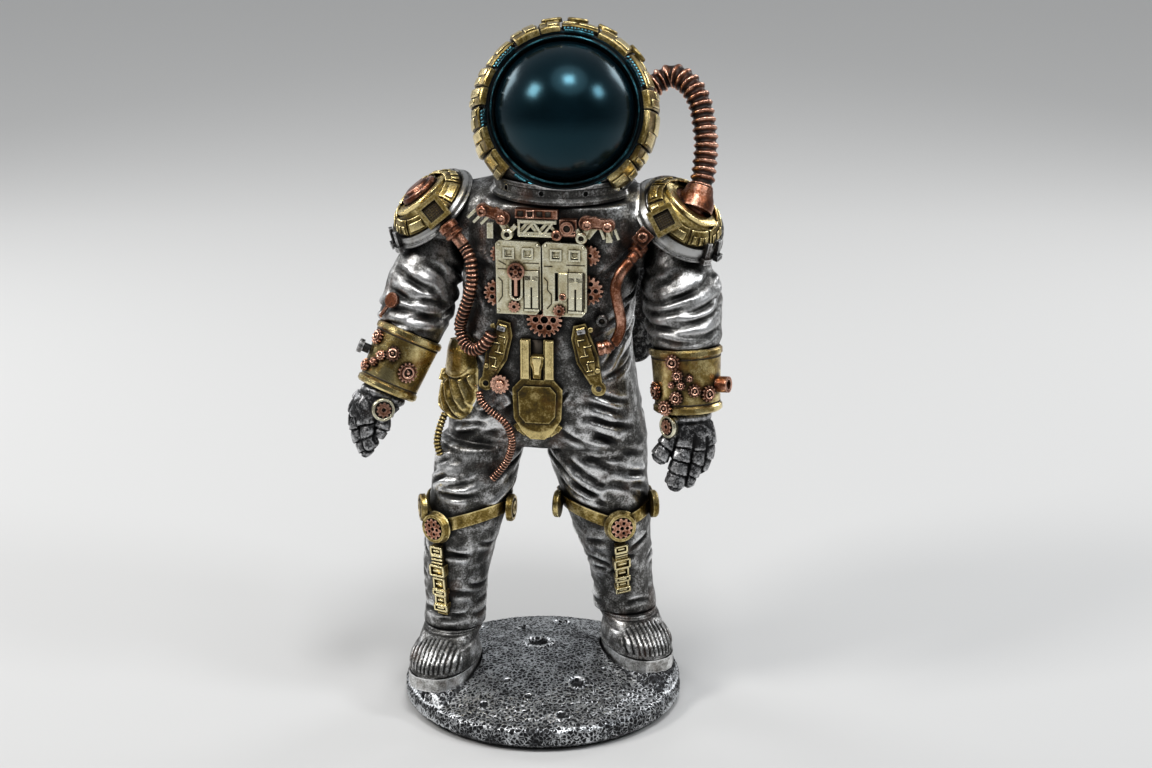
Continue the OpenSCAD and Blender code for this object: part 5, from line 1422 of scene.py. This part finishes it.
# Width of the rounded edges, then the nodes that have them
EDGES = {
    0.12: "knee_gears plate_gears arm_gears_right arm_gears_left medallion_right medallion_left",
    0.14: "chest_gears valve_wheel",
    0.2: "collar_ring knee_band_right knee_band_left",
    0.25: "chest_truss cuff_knob cuff_port",
    0.3: "pauldron_flanges backpack_trim cuff_right cuff_left",
    0.35: "shin_buckles crotch_plate hip_plates chest_plate_right chest_plate_left chest_bracket linkages",
    0.4: "knee_discs ear_discs pauldron_right pauldron_left shoulder_buckles",
    0.5: "soles air_hose_sockets",
    0.8: "backpack",
}
EDGE = {node: width for width, nodes in EDGES.items() for node in nodes.split()}
OWN_MATERIAL = {
    "chest_plate_right": PALE_GOLD, "chest_plate_left": PALE_GOLD, "chest_truss": PALE_GOLD,
    "crotch_plate": BRONZE, "hip_plates": BRONZE, "shin_buckles": BRONZE, "soles": SOLE_LIT_SILVER,
    "cuff_right": PATINA, "cuff_left": PATINA, "pauldron_flanges": SHADED_SILVER,
}


def dress_nodes():
    """Paint and rounded edges for the CAD nodes that stay in view."""
    for name, ob in NODES.items():
        ob.data.materials.clear()
        ob.data.materials.append(OWN_MATERIAL.get(name, SLOT_MATERIAL[SLOT_OF[name]]))
        if name in EDGE:
            soften(ob, EDGE[name], 30)


# ---------------------------------------------------------------- stage

def studio():
    """Pale floor, a soft sky lamp and softboxes round the figure."""
    material, tree, shader = shader_kit("pale_floor")
    place = add_node(tree, "ShaderNodeTexCoord").outputs["Object"]
    along = add_node(tree, "ShaderNodeSeparateXYZ", {"Vector": place}).outputs["Y"]
    share = map_node(tree, along, -0.35, 0.9)
    grey = ramp_node(tree, share, [(0, (0.5, 0.5, 0.5)), (1, (0.74, 0.74, 0.735))])
    tree.links.new(grey, shader.inputs["Base Color"])
    shader.inputs["Roughness"].default_value = 0.85
    floor = new_object("floor", [(-6000, -6000, 0), (6000, -6000, 0), (6000, 6000, 0), (-6000, 6000, 0)],
                       [[0, 1, 2, 3]], material, False)
    scene = bpy.context.scene
    scene.view_settings.view_transform = "Standard"
    world = bpy.data.worlds.new("studio")
    scene.world = world
    world.use_nodes = True
    tree = world.node_tree
    way = add_node(tree, "ShaderNodeTexCoord").outputs["Generated"]
    depth = add_node(tree, "ShaderNodeSeparateXYZ", {"Vector": way}).outputs["Y"]
    tree.nodes["Background"].inputs["Color"].default_value = (0.94, 0.97, 1, 1)
    tree.links.new(map_node(tree, depth, -0.7, 1, 0.06, 0.42), tree.nodes["Background"].inputs["Strength"])
    lamps = (
        ("left_box", (-0.78, -0.4, 0.95), 0.3, 6.5, (1, 0.98, 0.95)),
        ("right_box", (0.85, -0.36, 0.9), 0.25, 3.6, (0.95, 0.98, 1)),
        ("top_box", (0.12, -0.46, 1.26), 0.24, 5.5, (1, 1, 1)),
        ("rim_left", (-0.8, 0.6, 0.6), 0.4, 3.0, (1, 1, 1)),
        ("rim_right", (0.8, 0.7, 0.7), 0.4, 3.0, (1, 1, 1)),
    )
    for name, place, size, power, colour in lamps:
        light = bpy.data.lights.new(name, "AREA")
        light.size = size
        light.energy = power
        light.color = colour
        lamp = bpy.data.objects.new(name, light)
        lamp.location = place
        lamp.rotation_mode = "QUATERNION"
        lamp.rotation_quaternion = (Vector((0, 0, 0.16)) - Vector(place)).to_track_quat("-Z", "Y")
        scene.collection.objects.link(lamp)
    sky = bpy.data.lights.new("sky_lamp", "SUN")
    sky.energy = 0.8
    sky.angle = radians(50)
    lamp = bpy.data.objects.new("sky_lamp", sky)
    lamp.rotation_mode = "QUATERNION"
    lamp.rotation_quaternion = Vector((-0.11, 0.4, -0.91)).to_track_quat("-Z", "Y")
    scene.collection.objects.link(lamp)


def camera():
    """The photographer's place: a little above the helmet, looking down."""
    data = bpy.data.cameras.new("camera")
    data.lens = 68.6
    data.sensor_width = 36
    data.clip_start = 0.05
    data.clip_end = 50
    ob = bpy.data.objects.new("camera", data)
    ob.location = (0.0146, -0.9, 0.4307)
    ob.rotation_euler = (radians(90 - 17.63), 0, 0)
    bpy.context.scene.collection.objects.link(ob)
    bpy.context.scene.camera = ob


camera()
studio()
dress_nodes()
suit()
for arm_side in ("right", "left"):
    sleeve(arm_side)
    boot(arm_side)
    glove(arm_side)
    pauldron_relief(arm_side)
    cuff_relief(arm_side)
moon_base()
hoses()
helmet_plating()
visor_rim()
helmet_back()
visor_dome()
chest_relief()
torso_trim()
holster_relief()
knee_relief()
shin_links()
buckle_fills()
backpack_relief()
